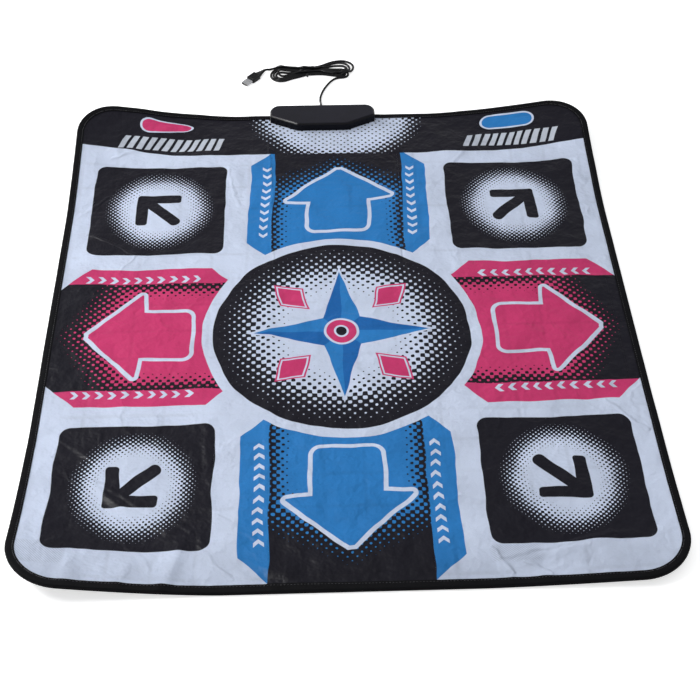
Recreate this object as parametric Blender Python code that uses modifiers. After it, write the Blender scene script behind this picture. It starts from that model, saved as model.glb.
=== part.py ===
"""Soft dance mat controller: a laid-out fabric mat with ten pressure pads,
a control box clamped on its back edge, and a bundled lead with a flat plug.

Metres, +Z up. The origin is the mat's centre on the floor, and +Y runs to the
control box. The mat is built flat, and then its four corners are curled up.
"""
import math

import bmesh
import bpy
from mathutils import Matrix, Vector

# Mat outline
MAT_WIDTH = 0.820
MAT_DEPTH = 0.930
CORNER_RADIUS = 0.066

# Layers of the mat, from the floor up
BASE_THICKNESS = 0.0015
FILM_THICKNESS = 0.0003
SPACER_THICKNESS = 0.0020
COVER_THICKNESS = 0.0010
LAYER_GAP = 0.0003
FILM_INSET = 0.006

# Edge binding tape, folded round the rim
BINDING_WIDTH = 0.011
BINDING_THICKNESS = 0.0008

# Step zones, placed by their margins to the edges and to the printed band behind
PAD_SIZE = 0.202
PAD_SIDE_MARGIN = 0.038
PAD_FRONT_MARGIN = 0.060
PAD_BAND_MARGIN = 0.031
PAD_CORNER = 0.015
PANEL_WIDTH = 0.199
PANEL_MARGIN = 0.025
PANEL_CORNER = 0.003
RING_RADIUS = 0.194
BAND_DEPTH = 0.103
OVAL_LENGTH = 0.090
OVAL_WIDTH = 0.036
OVAL_EDGE_DISTANCE = 0.0345
SELECT_SIDE_DISTANCE = 0.140
START_SIDE_DISTANCE = 0.130
PAD_CLEARANCE = 0.0005

# Curled corners: height at each square corner, reach along the diagonal
CURL_BACK_LEFT = 0.036
CURL_BACK_RIGHT = 0.033
CURL_FRONT_LEFT = 0.036
CURL_FRONT_RIGHT = 0.014
CURL_REACH = 0.182
CURL_POWER = 1.46
CURL_FOLDS = 4

# Control box
BOX_X = -0.017
BOX_WIDTH = 0.171
BOX_DEPTH = 0.053
BOX_TOP = 0.0205
BOX_OVERHANG = 0.011
BOX_CHAMFER_WIDTH = 0.0445
BOX_CHAMFER_DEPTH = 0.023
BOX_CHAMFER_SHIFT = 0.5
BOX_BACK_RADIUS = 0.016
BOX_WALL = 0.002
BOX_EDGE_ROUND = 0.0025
TONGUE_DEPTH = 0.022
BOX_CLEARANCE = 0.0006

# Screws and their bosses
SCREW_RADIUS = 0.0014
SCREW_HEAD_RADIUS = 0.0026
SCREW_HEAD_HEIGHT = 0.0012
SCREW_CLEARANCE = 0.0003
BOSS_RADIUS = 0.0032
BOX_SCREW_TIP = 0.0145
FRONT_SCREW_SIDE_INSET = 0.008
FRONT_SCREW_INSET = 0.011
REAR_SCREW_SIDE_INSET = 0.0165
REAR_SCREW_INSET = 0.0065
CLAMP_SCREW_END_INSET = 0.004
CLAMP_SCREW_FLOOR = 0.0005
CLAMP_HEAD_HEIGHT = 0.0020

# Electronics
BOARD_SIDE_GAP = 0.0325
BOARD_DEPTH = 0.0235
BOARD_THICKNESS = 0.0015
BOARD_FRONT_GAP = 0.0015
CHIP_SIZE = (0.010, 0.0065, 0.0016)
CHIP_OFFSET = 0.022
CRYSTAL_SIZE = (0.011, 0.0045, 0.0035)
CRYSTAL_OFFSET = -0.026
HEADER_SIZE = (0.010, 0.0055, 0.0034)
PARTS_ROW = 0.0175
TAIL_SIDE_GAP = 0.0105
TAIL_LENGTH = 0.0115
STRIP_THICKNESS = 0.0020
CLAMP_BAR_END_GAP = 0.0125
CLAMP_BAR_FRONT_GAP = 0.0005
CLAMP_BAR_DEPTH = 0.008
CLAMP_BAR_THICKNESS = 0.0020

# Lead, its grommet and its bundle
CABLE_DIAMETER = 0.0038
CABLE_SIDE_OFFSET = -0.0015
CABLE_Z = 0.0112
CABLE_REST_GAP = 0.0001
CABLE_START_INSET = 0.010
GROMMET_NECK = 0.0032
GROMMET_FLANGE = 0.0045
GROMMET_NOSE = 0.0028
GROMMET_LENGTH = 0.0065
GROMMET_FLANGE_THICKNESS = 0.0022
GROMMET_COLLAR = 0.0012
BUNDLE_HEIGHT = 0.0135
TIE_X = -0.040
TIE_WIDTH = 0.0035
TIE_THICKNESS = 0.0009
TIE_END_LENGTH = 0.0065
TIE_END_WIDTH = 0.0021
TIE_END_THICKNESS = 0.0013
TIE_END_Z = 0.0084

# Plug, its tip measured from the box's back like the bundle
PLUG_ANGLE = math.radians(50)
PLUG_TIP_X = -0.1475
PLUG_TIP_DISTANCE = 0.0835
SHELL_LENGTH = 0.0120
SHELL_WIDTH = 0.0120
SHELL_HEIGHT = 0.0045
SHELL_WALL = 0.0004
TONGUE_THICKNESS = 0.0016
TONGUE_SETBACK = 0.0015
CONTACT_LENGTH = 0.0085
CONTACT_WIDTH = 0.0010
CONTACT_THICKNESS = 0.0003
CONTACT_PITCH = 0.0022
BODY_LENGTH = 0.0200
BODY_WIDTH = 0.0155
BODY_HEIGHT = 0.0080
BODY_ROUND = 0.0012
NECK_LENGTH = 0.0100
NECK_RADIUS = 0.0035
NECK_TIP_RADIUS = 0.0026
NECK_ROOT = 0.002

# Facets
CORNER_STEPS = 7
PAD_CORNER_STEPS = 3
OVAL_STEPS = 8
ARC_STEPS = 12
ROUND_STEPS = 12
HOLE_STEPS = 12
SHARP_ANGLE = 0.3

# Heights that follow from the layers
LOWER_FILM_Z = BASE_THICKNESS + LAYER_GAP
SPACER_Z = LOWER_FILM_Z + FILM_THICKNESS + LAYER_GAP
UPPER_FILM_Z = SPACER_Z + SPACER_THICKNESS + LAYER_GAP
COVER_Z = UPPER_FILM_Z + FILM_THICKNESS + LAYER_GAP
COVER_TOP_Z = COVER_Z + COVER_THICKNESS
BINDING_TOP_Z = COVER_TOP_Z + LAYER_GAP + BINDING_THICKNESS
BOX_RIM_Z = COVER_TOP_Z + LAYER_GAP

# Plan positions that follow from the outline
EDGE_X = MAT_WIDTH / 2
EDGE_Y = MAT_DEPTH / 2
COLUMN_PITCH = EDGE_X - PAD_SIDE_MARGIN - PAD_SIZE / 2
FIELD_FRONT = PAD_FRONT_MARGIN - EDGE_Y
FIELD_BACK = EDGE_Y - BAND_DEPTH - PAD_BAND_MARGIN
GRID_Y = (FIELD_FRONT + FIELD_BACK) / 2
ROW_PITCH = (FIELD_BACK - FIELD_FRONT - PAD_SIZE) / 2
SELECT_X = SELECT_SIDE_DISTANCE - EDGE_X
START_X = EDGE_X - START_SIDE_DISTANCE
BOX_BACK_Y = EDGE_Y + BOX_OVERHANG
BOX_FRONT_Y = BOX_BACK_Y - BOX_DEPTH
NOSE_HALF = BOX_WIDTH / 2 - BOX_CHAMFER_WIDTH
TONGUE_Y = BOX_FRONT_Y + TONGUE_DEPTH
BOARD_WIDTH = BOX_WIDTH - 2 * BOARD_SIDE_GAP
CLAMP_BAR_LENGTH = BOARD_WIDTH - 2 * CLAMP_BAR_END_GAP
TAIL_WIDTH = CLAMP_BAR_LENGTH - 2 * TAIL_SIDE_GAP
FRONT_SCREW_SPREAD = NOSE_HALF - FRONT_SCREW_SIDE_INSET
REAR_SCREW_SPREAD = BOX_WIDTH / 2 - REAR_SCREW_SIDE_INSET
CLAMP_SCREW_SPREAD = CLAMP_BAR_LENGTH / 2 - CLAMP_SCREW_END_INSET
BOARD_TOP_Z = UPPER_FILM_Z - LAYER_GAP
BOARD_Z = BOARD_TOP_Z - BOARD_THICKNESS
BOARD_FRONT_Y = TONGUE_Y + BOARD_FRONT_GAP
PARTS_Y = BOARD_FRONT_Y + PARTS_ROW
STRIP_Z = UPPER_FILM_Z + FILM_THICKNESS + LAYER_GAP
CLAMP_BAR_Z = STRIP_Z + STRIP_THICKNESS + LAYER_GAP
CLAMP_Y = BOARD_FRONT_Y + CLAMP_BAR_FRONT_GAP + CLAMP_BAR_DEPTH / 2
CABLE_X = BOX_X + CABLE_SIDE_OFFSET
CABLE_RADIUS = CABLE_DIAMETER / 2
PLUG_TIP_Y = BOX_BACK_Y + PLUG_TIP_DISTANCE
FAR = 0.05

# The lead's route from the box to the bundle, on the floor after the first drop
CABLE_FLOOR_Z = CABLE_RADIUS + CABLE_REST_GAP
LEAD_ROUTE = (
    (CABLE_X, BOX_BACK_Y - CABLE_START_INSET, CABLE_Z),
    (CABLE_X, BOX_BACK_Y + 0.004, CABLE_Z),
    (CABLE_X - 0.0003, BOX_BACK_Y + 0.013, CABLE_Z - 0.0015),
    (CABLE_X - 0.0010, BOX_BACK_Y + 0.023, CABLE_Z - 0.0055),
    (CABLE_X - 0.0018, BOX_BACK_Y + 0.033, CABLE_Z - 0.0083),
    (CABLE_X - 0.0020, BOX_BACK_Y + 0.044, CABLE_FLOOR_Z),
    (CABLE_X - 0.0004, BOX_BACK_Y + 0.056, CABLE_FLOOR_Z),
    (CABLE_X + 0.0040, BOX_BACK_Y + 0.068, CABLE_FLOOR_Z),
    (CABLE_X + 0.0108, BOX_BACK_Y + 0.080, CABLE_FLOOR_Z),
)
LEAD_ENTRY_X = 0.0085
LEAD_ENTRY_Y = 0.102
TAIL_ENTRY_Y = 0.130
TAIL_RUN = 0.004
ENTRY_RUN = 0.006

# Outline of the bundled lead seen from above, measured from the box's back
BUNDLE_OUTLINE = (
    (-0.1045, 0.114), (-0.0985, 0.098), (-0.084, 0.091), (-0.064, 0.098),
    (-0.040, 0.109), (-0.015, 0.111), (0.004, 0.1045), (0.018, 0.098),
    (0.031, 0.108), (0.0395, 0.130), (0.033, 0.146), (0.018, 0.152),
    (0.001, 0.146), (-0.020, 0.133), (-0.040, 0.130), (-0.062, 0.135),
    (-0.083, 0.1385), (-0.0985, 0.131),
)

for old in list(bpy.data.objects):
    bpy.data.objects.remove(old, do_unlink=True)

model = bpy.data.collections.new("dance_mat")
bpy.context.scene.collection.children.link(model)
cutters = bpy.data.collections.new("cutters")
bpy.context.scene.collection.children.link(cutters)


def material(name, colour, roughness, metallic=0.0):
    """A plain surface with one colour."""
    made = bpy.data.materials.new(name)
    made.use_nodes = True
    shader = made.node_tree.nodes["Principled BSDF"]
    shader.inputs["Base Color"].default_value = (*colour, 1.0)
    shader.inputs["Roughness"].default_value = roughness
    shader.inputs["Metallic"].default_value = metallic
    made.diffuse_color = (*colour, 1.0)
    return made


WHITE_CLOTH = material("white_cloth", (0.58, 0.65, 0.85), 0.6)
BLACK_CLOTH = material("black_cloth", (0.02, 0.02, 0.03), 0.5)
BLUE_CLOTH = material("blue_cloth", (0.05, 0.24, 0.60), 0.5)
PINK_CLOTH = material("pink_cloth", (0.72, 0.05, 0.20), 0.5)
TAPE = material("binding_tape", (0.006, 0.006, 0.008), 0.8)
FOAM = material("spacer_foam", (0.75, 0.75, 0.72), 0.95)
FILM = material("contact_film", (0.50, 0.52, 0.53), 0.35, 0.3)
BASE = material("non_slip_base", (0.03, 0.03, 0.035), 0.85)
CASE = material("case_plastic", (0.012, 0.012, 0.018), 0.35)
BOARD = material("circuit_board", (0.02, 0.16, 0.05), 0.45)
CHIP = material("chip_plastic", (0.015, 0.015, 0.015), 0.5)
STEEL = material("steel", (0.62, 0.62, 0.63), 0.3, 1.0)
BRASS = material("contact_brass", (0.75, 0.55, 0.20), 0.3, 1.0)
RUBBER = material("lead_rubber", (0.008, 0.008, 0.009), 0.55)
NYLON = material("white_nylon", (0.80, 0.80, 0.78), 0.5)


def store(obj, surface):
    """Put a finished piece in the model's collection with its material."""
    for home in list(obj.users_collection):
        home.objects.unlink(obj)
    model.objects.link(obj)
    obj.data.materials.clear()
    obj.data.materials.append(surface)
    return obj


def as_cutter(obj):
    """Put a cutting shape among the cutters, out of sight."""
    for home in list(obj.users_collection):
        home.objects.unlink(obj)
    cutters.objects.link(obj)
    obj.hide_render = True
    obj.display_type = "WIRE"
    return obj


def mesh_from(obj, weld=True):
    """Turn a curve or a modified object into a plain mesh object."""
    bpy.context.view_layer.update()
    graph = bpy.context.evaluated_depsgraph_get()
    mesh = bpy.data.meshes.new_from_object(obj.evaluated_get(graph))
    if weld:
        shape = bmesh.new()
        shape.from_mesh(mesh)
        bmesh.ops.remove_doubles(shape, verts=shape.verts, dist=1e-6)
        bmesh.ops.recalc_face_normals(shape, faces=shape.faces)
        shape.to_mesh(mesh)
        shape.free()
    name = obj.name
    plain = bpy.data.objects.new(name + "_mesh", mesh)
    plain.matrix_world = obj.matrix_world.copy()
    bpy.context.scene.collection.objects.link(plain)
    bpy.data.objects.remove(obj, do_unlink=True)
    plain.name = name
    return plain


def plate(name, outlines, z_low, z_high):
    """A flat sheet between two heights: the first outline, less the others."""
    curve = bpy.data.curves.new(name, "CURVE")
    curve.dimensions = "2D"
    curve.fill_mode = "BOTH"
    curve.extrude = (z_high - z_low) / 2
    for outline in outlines:
        spline = curve.splines.new("POLY")
        spline.points.add(len(outline) - 1)
        for point, (x, y) in zip(spline.points, outline):
            point.co = (x, y, 0.0, 1.0)
        spline.use_cyclic_u = True
    obj = bpy.data.objects.new(name, curve)
    obj.location.z = (z_low + z_high) / 2
    bpy.context.scene.collection.objects.link(obj)
    plain = mesh_from(obj)
    plain.data.transform(plain.matrix_world)
    plain.matrix_world = Matrix.Identity(4)
    return plain


def block(name, centre, size):
    """A box with its size applied."""
    mesh = bpy.data.meshes.new(name)
    shape = bmesh.new()
    bmesh.ops.create_cube(shape, size=1.0)
    bmesh.ops.scale(shape, vec=Vector(size), verts=shape.verts)
    shape.to_mesh(mesh)
    shape.free()
    obj = bpy.data.objects.new(name, mesh)
    obj.location = centre
    bpy.context.scene.collection.objects.link(obj)
    return obj


def turned(name, profile, steps, place, axis="Z"):
    """A solid of revolution: profile is (radius, height) down its outer side."""
    mesh = bpy.data.meshes.new(name)
    points = [(radius, 0.0, height) for radius, height in profile]
    edges = [(i, i + 1) for i in range(len(points) - 1)]
    mesh.from_pydata(points, edges, [])
    obj = bpy.data.objects.new(name, mesh)
    bpy.context.scene.collection.objects.link(obj)
    spin = obj.modifiers.new("turn", "SCREW")
    spin.steps = steps
    spin.render_steps = steps
    spin.use_merge_vertices = True
    spin.merge_threshold = 0.00001
    plain = mesh_from(obj)
    if axis == "Y":
        plain.rotation_euler.x = -math.pi / 2
    plain.location = place
    return plain


def combine(obj, other, operation):
    """Join a tool shape to a piece, or cut it out, for good."""
    as_cutter(other)
    step = obj.modifiers.new(operation.lower(), "BOOLEAN")
    step.operation = operation
    step.object = other
    step.solver = "EXACT"
    return mesh_from(obj, weld=False)


def arc(centre_x, centre_y, radius, start, end, steps):
    """Points on an arc, angles in degrees."""
    points = []
    for i in range(steps + 1):
        angle = math.radians(start + (end - start) * i / steps)
        points.append((centre_x + radius * math.cos(angle),
                       centre_y + radius * math.sin(angle)))
    return points


def rounded_rectangle(left, right, front, back, radius):
    """Counter-clockwise outline from the front right corner round."""
    points = arc(right - radius, front + radius, radius, -90, 0, PAD_CORNER_STEPS)
    points += arc(right - radius, back - radius, radius, 0, 90, PAD_CORNER_STEPS)
    points += arc(left + radius, back - radius, radius, 90, 180, PAD_CORNER_STEPS)
    points += arc(left + radius, front + radius, radius, 180, 270, PAD_CORNER_STEPS)
    return points


def round_hole(x, y, radius):
    return arc(x, y, radius, 0, 360 - 360 / HOLE_STEPS, HOLE_STEPS - 1)


def box_outline(grow=0.0):
    """The control box from above: round back corners and a chamfered nose."""
    half = BOX_WIDTH / 2 + grow
    nose = NOSE_HALF + grow * BOX_CHAMFER_SHIFT
    back = BOX_BACK_Y + grow
    front = BOX_FRONT_Y - grow
    shoulder = BOX_FRONT_Y + BOX_CHAMFER_DEPTH - grow * BOX_CHAMFER_SHIFT
    radius = BOX_BACK_RADIUS + grow
    points = [(BOX_X - nose, front), (BOX_X + nose, front), (BOX_X + half, shoulder)]
    points += arc(BOX_X + half - radius, back - radius, radius, 0, 90, CORNER_STEPS)
    points += arc(BOX_X - half + radius, back - radius, radius, 90, 180, CORNER_STEPS)
    points.append((BOX_X - half, shoulder))
    return points


def notch_half_width():
    return BOX_WIDTH / 2 + BOX_CLEARANCE


def mat_outline(inset, notch=()):
    """The mat's rim, drawn in from the edge, with a notch in the back edge."""
    radius = max(CORNER_RADIUS - inset, 0.001)
    left, right = inset - EDGE_X, EDGE_X - inset
    front, back = inset - EDGE_Y, EDGE_Y - inset
    points = arc(right - radius, front + radius, radius, -90, 0, CORNER_STEPS)
    points += arc(right - radius, back - radius, radius, 0, 90, CORNER_STEPS)
    if notch:
        points.append((notch[0][0], back))
        points += notch
        points.append((notch[-1][0], back))
    points += arc(left + radius, back - radius, radius, 90, 180, CORNER_STEPS)
    points += arc(left + radius, front + radius, radius, 180, 270, CORNER_STEPS)
    return points


def tongue_notch():
    """Where the upper layers stop inside the box."""
    half = notch_half_width()
    return [(BOX_X + half, TONGUE_Y), (BOX_X - half, TONGUE_Y)]


def tray_notch():
    """Where the base makes room for the box's tray, whose plan it follows."""
    half = notch_half_width()
    nose = NOSE_HALF + BOX_CLEARANCE * BOX_CHAMFER_SHIFT
    front = BOX_FRONT_Y - BOX_CLEARANCE
    shoulder = BOX_FRONT_Y + BOX_CHAMFER_DEPTH - BOX_CLEARANCE * BOX_CHAMFER_SHIFT
    return [(BOX_X + half, shoulder), (BOX_X + nose, front),
            (BOX_X - nose, front), (BOX_X - half, shoulder)]


def pad_square(x, y, grow):
    half = PAD_SIZE / 2 + grow
    return rounded_rectangle(x - half, x + half, y - half, y + half, PAD_CORNER + grow)


def turn_points(points, quarter_turns):
    """Turn an outline about the mat grid's centre."""
    angle = quarter_turns * math.pi / 2
    turned_points = []
    for x, y in points:
        turned_points.append((x * math.cos(angle) - (y - GRID_Y) * math.sin(angle),
                              GRID_Y + x * math.sin(angle) + (y - GRID_Y) * math.cos(angle)))
    return turned_points


def arrow_panel(reach, quarter_turns, grow):
    """A panel with a hollow end round the centre ring, turned to its side."""
    half = PANEL_WIDTH / 2 + grow
    ring = RING_RADIUS - grow
    spread = math.degrees(math.asin(half / ring))
    top = GRID_Y + reach + grow
    corner = PANEL_CORNER + grow
    points = arc(half - corner, top - corner, corner, 0, 90, 2)
    points += arc(corner - half, top - corner, corner, 90, 180, 2)
    points += arc(0.0, GRID_Y, ring, 90 + spread, 90 - spread, ARC_STEPS)
    return turn_points(points, quarter_turns)


def oval(x, grow):
    half_width = OVAL_WIDTH / 2 + grow
    half_length = OVAL_LENGTH / 2 + grow
    y = EDGE_Y - OVAL_EDGE_DISTANCE
    straight = half_length - half_width
    points = arc(x + straight, y, half_width, -90, 90, OVAL_STEPS)
    points += arc(x - straight, y, half_width, 90, 270, OVAL_STEPS)
    return points


def step_zones(grow):
    """Name, outline and surface of each step zone."""
    side_reach = EDGE_X - PANEL_MARGIN
    back_reach = EDGE_Y - BAND_DEPTH - GRID_Y
    front_reach = EDGE_Y - PANEL_MARGIN + GRID_Y
    back_y = GRID_Y + ROW_PITCH
    front_y = GRID_Y - ROW_PITCH
    return (
        ("back_left", pad_square(-COLUMN_PITCH, back_y, grow), BLACK_CLOTH),
        ("back", arrow_panel(back_reach, 0, grow), BLUE_CLOTH),
        ("back_right", pad_square(COLUMN_PITCH, back_y, grow), BLACK_CLOTH),
        ("left", arrow_panel(side_reach, 1, grow), PINK_CLOTH),
        ("right", arrow_panel(side_reach, 3, grow), PINK_CLOTH),
        ("front_left", pad_square(-COLUMN_PITCH, front_y, grow), BLACK_CLOTH),
        ("front", arrow_panel(front_reach, 2, grow), BLUE_CLOTH),
        ("front_right", pad_square(COLUMN_PITCH, front_y, grow), BLACK_CLOTH),
        ("select", oval(SELECT_X, grow), PINK_CLOTH),
        ("start", oval(START_X, grow), BLUE_CLOTH),
    )


def fold_distances():
    """Diagonal distances of the fold lines, the corner itself first."""
    return [CURL_REACH * i / CURL_FOLDS for i in range(CURL_FOLDS + 1)]


def corner_height(side_x, side_y):
    if side_y > 0:
        return CURL_BACK_RIGHT if side_x > 0 else CURL_BACK_LEFT
    return CURL_FRONT_RIGHT if side_x > 0 else CURL_FRONT_LEFT


def lift(x, y):
    """Height that the curl adds, straight between its fold lines."""
    distance = (EDGE_X - abs(x) + EDGE_Y - abs(y)) / math.sqrt(2)
    if distance >= CURL_REACH:
        return 0.0
    step = CURL_REACH / CURL_FOLDS
    index = max(0, min(CURL_FOLDS - 1, int(distance / step)))
    near = (1 - index / CURL_FOLDS) ** CURL_POWER
    far = (1 - (index + 1) / CURL_FOLDS) ** CURL_POWER
    share = distance / step - index
    return corner_height(x, y) * (near + (far - near) * share)


def curl(obj):
    """Cut the mesh along the fold lines and raise its corners."""
    shape = bmesh.new()
    shape.from_mesh(obj.data)
    for side_x in (-1, 1):
        for side_y in (-1, 1):
            outward = Vector((side_x, side_y, 0)).normalized()
            corner = Vector((side_x * EDGE_X, side_y * EDGE_Y, 0))
            for distance in fold_distances()[1:]:
                parts = shape.verts[:] + shape.edges[:] + shape.faces[:]
                bmesh.ops.bisect_plane(shape, geom=parts, dist=1e-6,
                                       plane_co=corner - outward * distance,
                                       plane_no=outward)
    for vert in shape.verts:
        vert.co.z += lift(vert.co.x, vert.co.y)
    shape.to_mesh(obj.data)
    shape.free()
    return obj


def smooth_route(points, steps, closed=False):
    """Catmull-Rom curve through the points."""
    points = [Vector(point) for point in points]
    count = len(points)
    spans = count if closed else count - 1
    route = []
    for i in range(spans):
        if closed:
            p0, p1, p2, p3 = (points[(i + k) % count] for k in (-1, 0, 1, 2))
        else:
            p0, p1 = points[max(i - 1, 0)], points[i]
            p2, p3 = points[i + 1], points[min(i + 2, count - 1)]
        for k in range(steps):
            t = k / steps
            route.append(0.5 * (2 * p1 + (p2 - p0) * t
                                + (2 * p0 - 5 * p1 + 4 * p2 - p3) * t ** 2
                                + (3 * p1 - p0 - 3 * p2 + p3) * t ** 3))
    if not closed:
        route.append(points[-1])
    return route


def tube(name, route, radius, sides_level=2):
    """A round cord along a route, with flat ends."""
    curve = bpy.data.curves.new(name, "CURVE")
    curve.dimensions = "3D"
    curve.bevel_depth = radius
    curve.bevel_resolution = sides_level
    curve.use_fill_caps = True
    spline = curve.splines.new("POLY")
    spline.points.add(len(route) - 1)
    for point, co in zip(spline.points, route):
        point.co = (*co, 1.0)
    obj = bpy.data.objects.new(name, curve)
    bpy.context.scene.collection.objects.link(obj)
    return mesh_from(obj)


def round_edges(obj, radius, segments, wanted):
    """Round the edges that a test on their two ends picks."""
    shape = bmesh.new()
    shape.from_mesh(obj.data)
    edges = [edge for edge in shape.edges
             if edge.calc_face_angle(0.0) > SHARP_ANGLE
             and wanted(edge.verts[0].co, edge.verts[1].co)]
    bmesh.ops.bevel(shape, geom=edges, offset=radius, segments=segments,
                    profile=0.5, affect="EDGES", clamp_overlap=True)
    shape.to_mesh(obj.data)
    shape.free()
    return obj


def front_screws():
    y = BOX_FRONT_Y + FRONT_SCREW_INSET
    return [(BOX_X - FRONT_SCREW_SPREAD, y), (BOX_X + FRONT_SCREW_SPREAD, y)]


def rear_screws():
    y = BOX_BACK_Y - REAR_SCREW_INSET
    return [(BOX_X - REAR_SCREW_SPREAD, y), (BOX_X + REAR_SCREW_SPREAD, y)]


def clamp_screws():
    return [(BOX_X - CLAMP_SCREW_SPREAD, CLAMP_Y), (BOX_X + CLAMP_SCREW_SPREAD, CLAMP_Y)]


def tongue_holes():
    """Holes in the mat's tongue for the screws that clamp it."""
    radius = SCREW_RADIUS + 2 * SCREW_CLEARANCE
    return [round_hole(x, y, radius) for x, y in front_screws()]


def make_covers_and_films():
    """Every mat layer, with the holes that its step zones work in."""
    wall_inset = BINDING_THICKNESS + LAYER_GAP
    zone_holes = [outline for _, outline, _ in step_zones(PAD_CLEARANCE)]

    base = plate("bottom_cover", [mat_outline(wall_inset, tray_notch())], 0.0, BASE_THICKNESS)
    rebate = plate("base_rebate", [mat_outline(-FAR), mat_outline(BINDING_WIDTH + LAYER_GAP)],
                   -FAR, BINDING_THICKNESS + LAYER_GAP)
    base = combine(base, rebate, "DIFFERENCE")
    store(curl(base), BASE)

    lower = plate("lower_contact_film", [mat_outline(FILM_INSET, tongue_notch())] + tongue_holes(),
                  LOWER_FILM_Z, LOWER_FILM_Z + FILM_THICKNESS)
    store(curl(lower), FILM)

    rim = mat_outline(FILM_INSET, tongue_notch())
    spacer = plate("spacer_foam", [rim] + tongue_holes() + zone_holes,
                   SPACER_Z, SPACER_Z + SPACER_THICKNESS)
    store(curl(spacer), FOAM)

    upper = plate("upper_contact_film", [rim] + tongue_holes() + zone_holes,
                  UPPER_FILM_Z, UPPER_FILM_Z + FILM_THICKNESS)
    store(curl(upper), FILM)

    cover = plate("top_cover", [mat_outline(wall_inset, tongue_notch())] + tongue_holes() + zone_holes,
                  COVER_Z, COVER_TOP_Z)
    store(curl(cover), WHITE_CLOTH)


def make_step_zones():
    """One printed pad and one contact patch for each step zone."""
    for name, outline, surface in step_zones(0.0):
        pad = plate("pad_" + name, [outline], COVER_Z, COVER_TOP_Z)
        store(curl(pad), surface)
        patch = plate("contact_" + name, [outline], UPPER_FILM_Z, UPPER_FILM_Z + FILM_THICKNESS)
        store(curl(patch), FILM)


def make_binding():
    """Tape folded round the rim, open where the box sits."""
    tape = plate("edge_binding", [mat_outline(0.0), mat_outline(BINDING_WIDTH)],
                 0.0, BINDING_TOP_Z)
    fold = plate("binding_fold", [mat_outline(BINDING_THICKNESS),
                                  mat_outline(BINDING_WIDTH + FAR)],
                 BINDING_THICKNESS, BINDING_TOP_Z - BINDING_THICKNESS)
    tape = combine(tape, fold, "DIFFERENCE")
    opening = block("binding_opening", (BOX_X, EDGE_Y, 0.0),
                    (2 * notch_half_width(), 4 * BINDING_WIDTH, 1.0))
    tape = combine(tape, opening, "DIFFERENCE")
    store(curl(tape), TAPE)


def screw_cutter(x, y):
    """The countersunk hole that a box screw leaves in the tray."""
    head = SCREW_HEAD_RADIUS + SCREW_CLEARANCE
    shank = SCREW_RADIUS + SCREW_CLEARANCE
    profile = [(0.0, BOX_TOP), (shank, BOX_TOP), (shank, SCREW_HEAD_HEIGHT + LAYER_GAP / 2),
               (head, LAYER_GAP / 2), (head, -FAR), (0.0, -FAR)]
    return turned("screw_hole", profile, HOLE_STEPS, (x, y, 0.0))


def tray_room_outline():
    """What is open above the tray's floor: the inside, and all of the front."""
    wall_front = TONGUE_Y + BOX_CLEARANCE
    inner = BOX_WIDTH / 2 - BOX_WALL
    outer = BOX_WIDTH / 2 + FAR
    back = BOX_BACK_Y - BOX_WALL
    radius = BOX_BACK_RADIUS - BOX_WALL
    points = [(BOX_X - outer, BOX_FRONT_Y - FAR), (BOX_X + outer, BOX_FRONT_Y - FAR),
              (BOX_X + outer, wall_front), (BOX_X + inner, wall_front)]
    points += arc(BOX_X + inner - radius, back - radius, radius, 0, 90, CORNER_STEPS)
    points += arc(BOX_X - inner + radius, back - radius, radius, 90, 180, CORNER_STEPS)
    points += [(BOX_X - inner, wall_front), (BOX_X - outer, wall_front)]
    return points


def make_box_lower():
    """Tray under the mat's edge, with a wall behind it and bosses for the board."""
    wall_top = BOX_RIM_Z - LAYER_GAP
    tray = plate("housing_lower", [box_outline()], 0.0, wall_top)
    room = plate("tray_room", [tray_room_outline()], BASE_THICKNESS, FAR)
    tray = combine(tray, room, "DIFFERENCE")
    for x, y in clamp_screws():
        boss = turned("board_boss", [(0.0, BOARD_Z - LAYER_GAP), (BOSS_RADIUS, BOARD_Z - LAYER_GAP),
                                     (BOSS_RADIUS, BASE_THICKNESS / 2), (0.0, BASE_THICKNESS / 2)],
                      ROUND_STEPS, (x, y, 0.0))
        tray = combine(tray, boss, "UNION")
        radius = SCREW_RADIUS + SCREW_CLEARANCE
        bore = turned("boss_bore", [(0.0, FAR), (radius, FAR), (radius, CLAMP_SCREW_FLOOR),
                                    (0.0, CLAMP_SCREW_FLOOR)], HOLE_STEPS, (x, y, 0.0))
        tray = combine(tray, bore, "DIFFERENCE")
    for x, y in front_screws() + rear_screws():
        tray = combine(tray, screw_cutter(x, y), "DIFFERENCE")
    store(tray, CASE)


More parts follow.
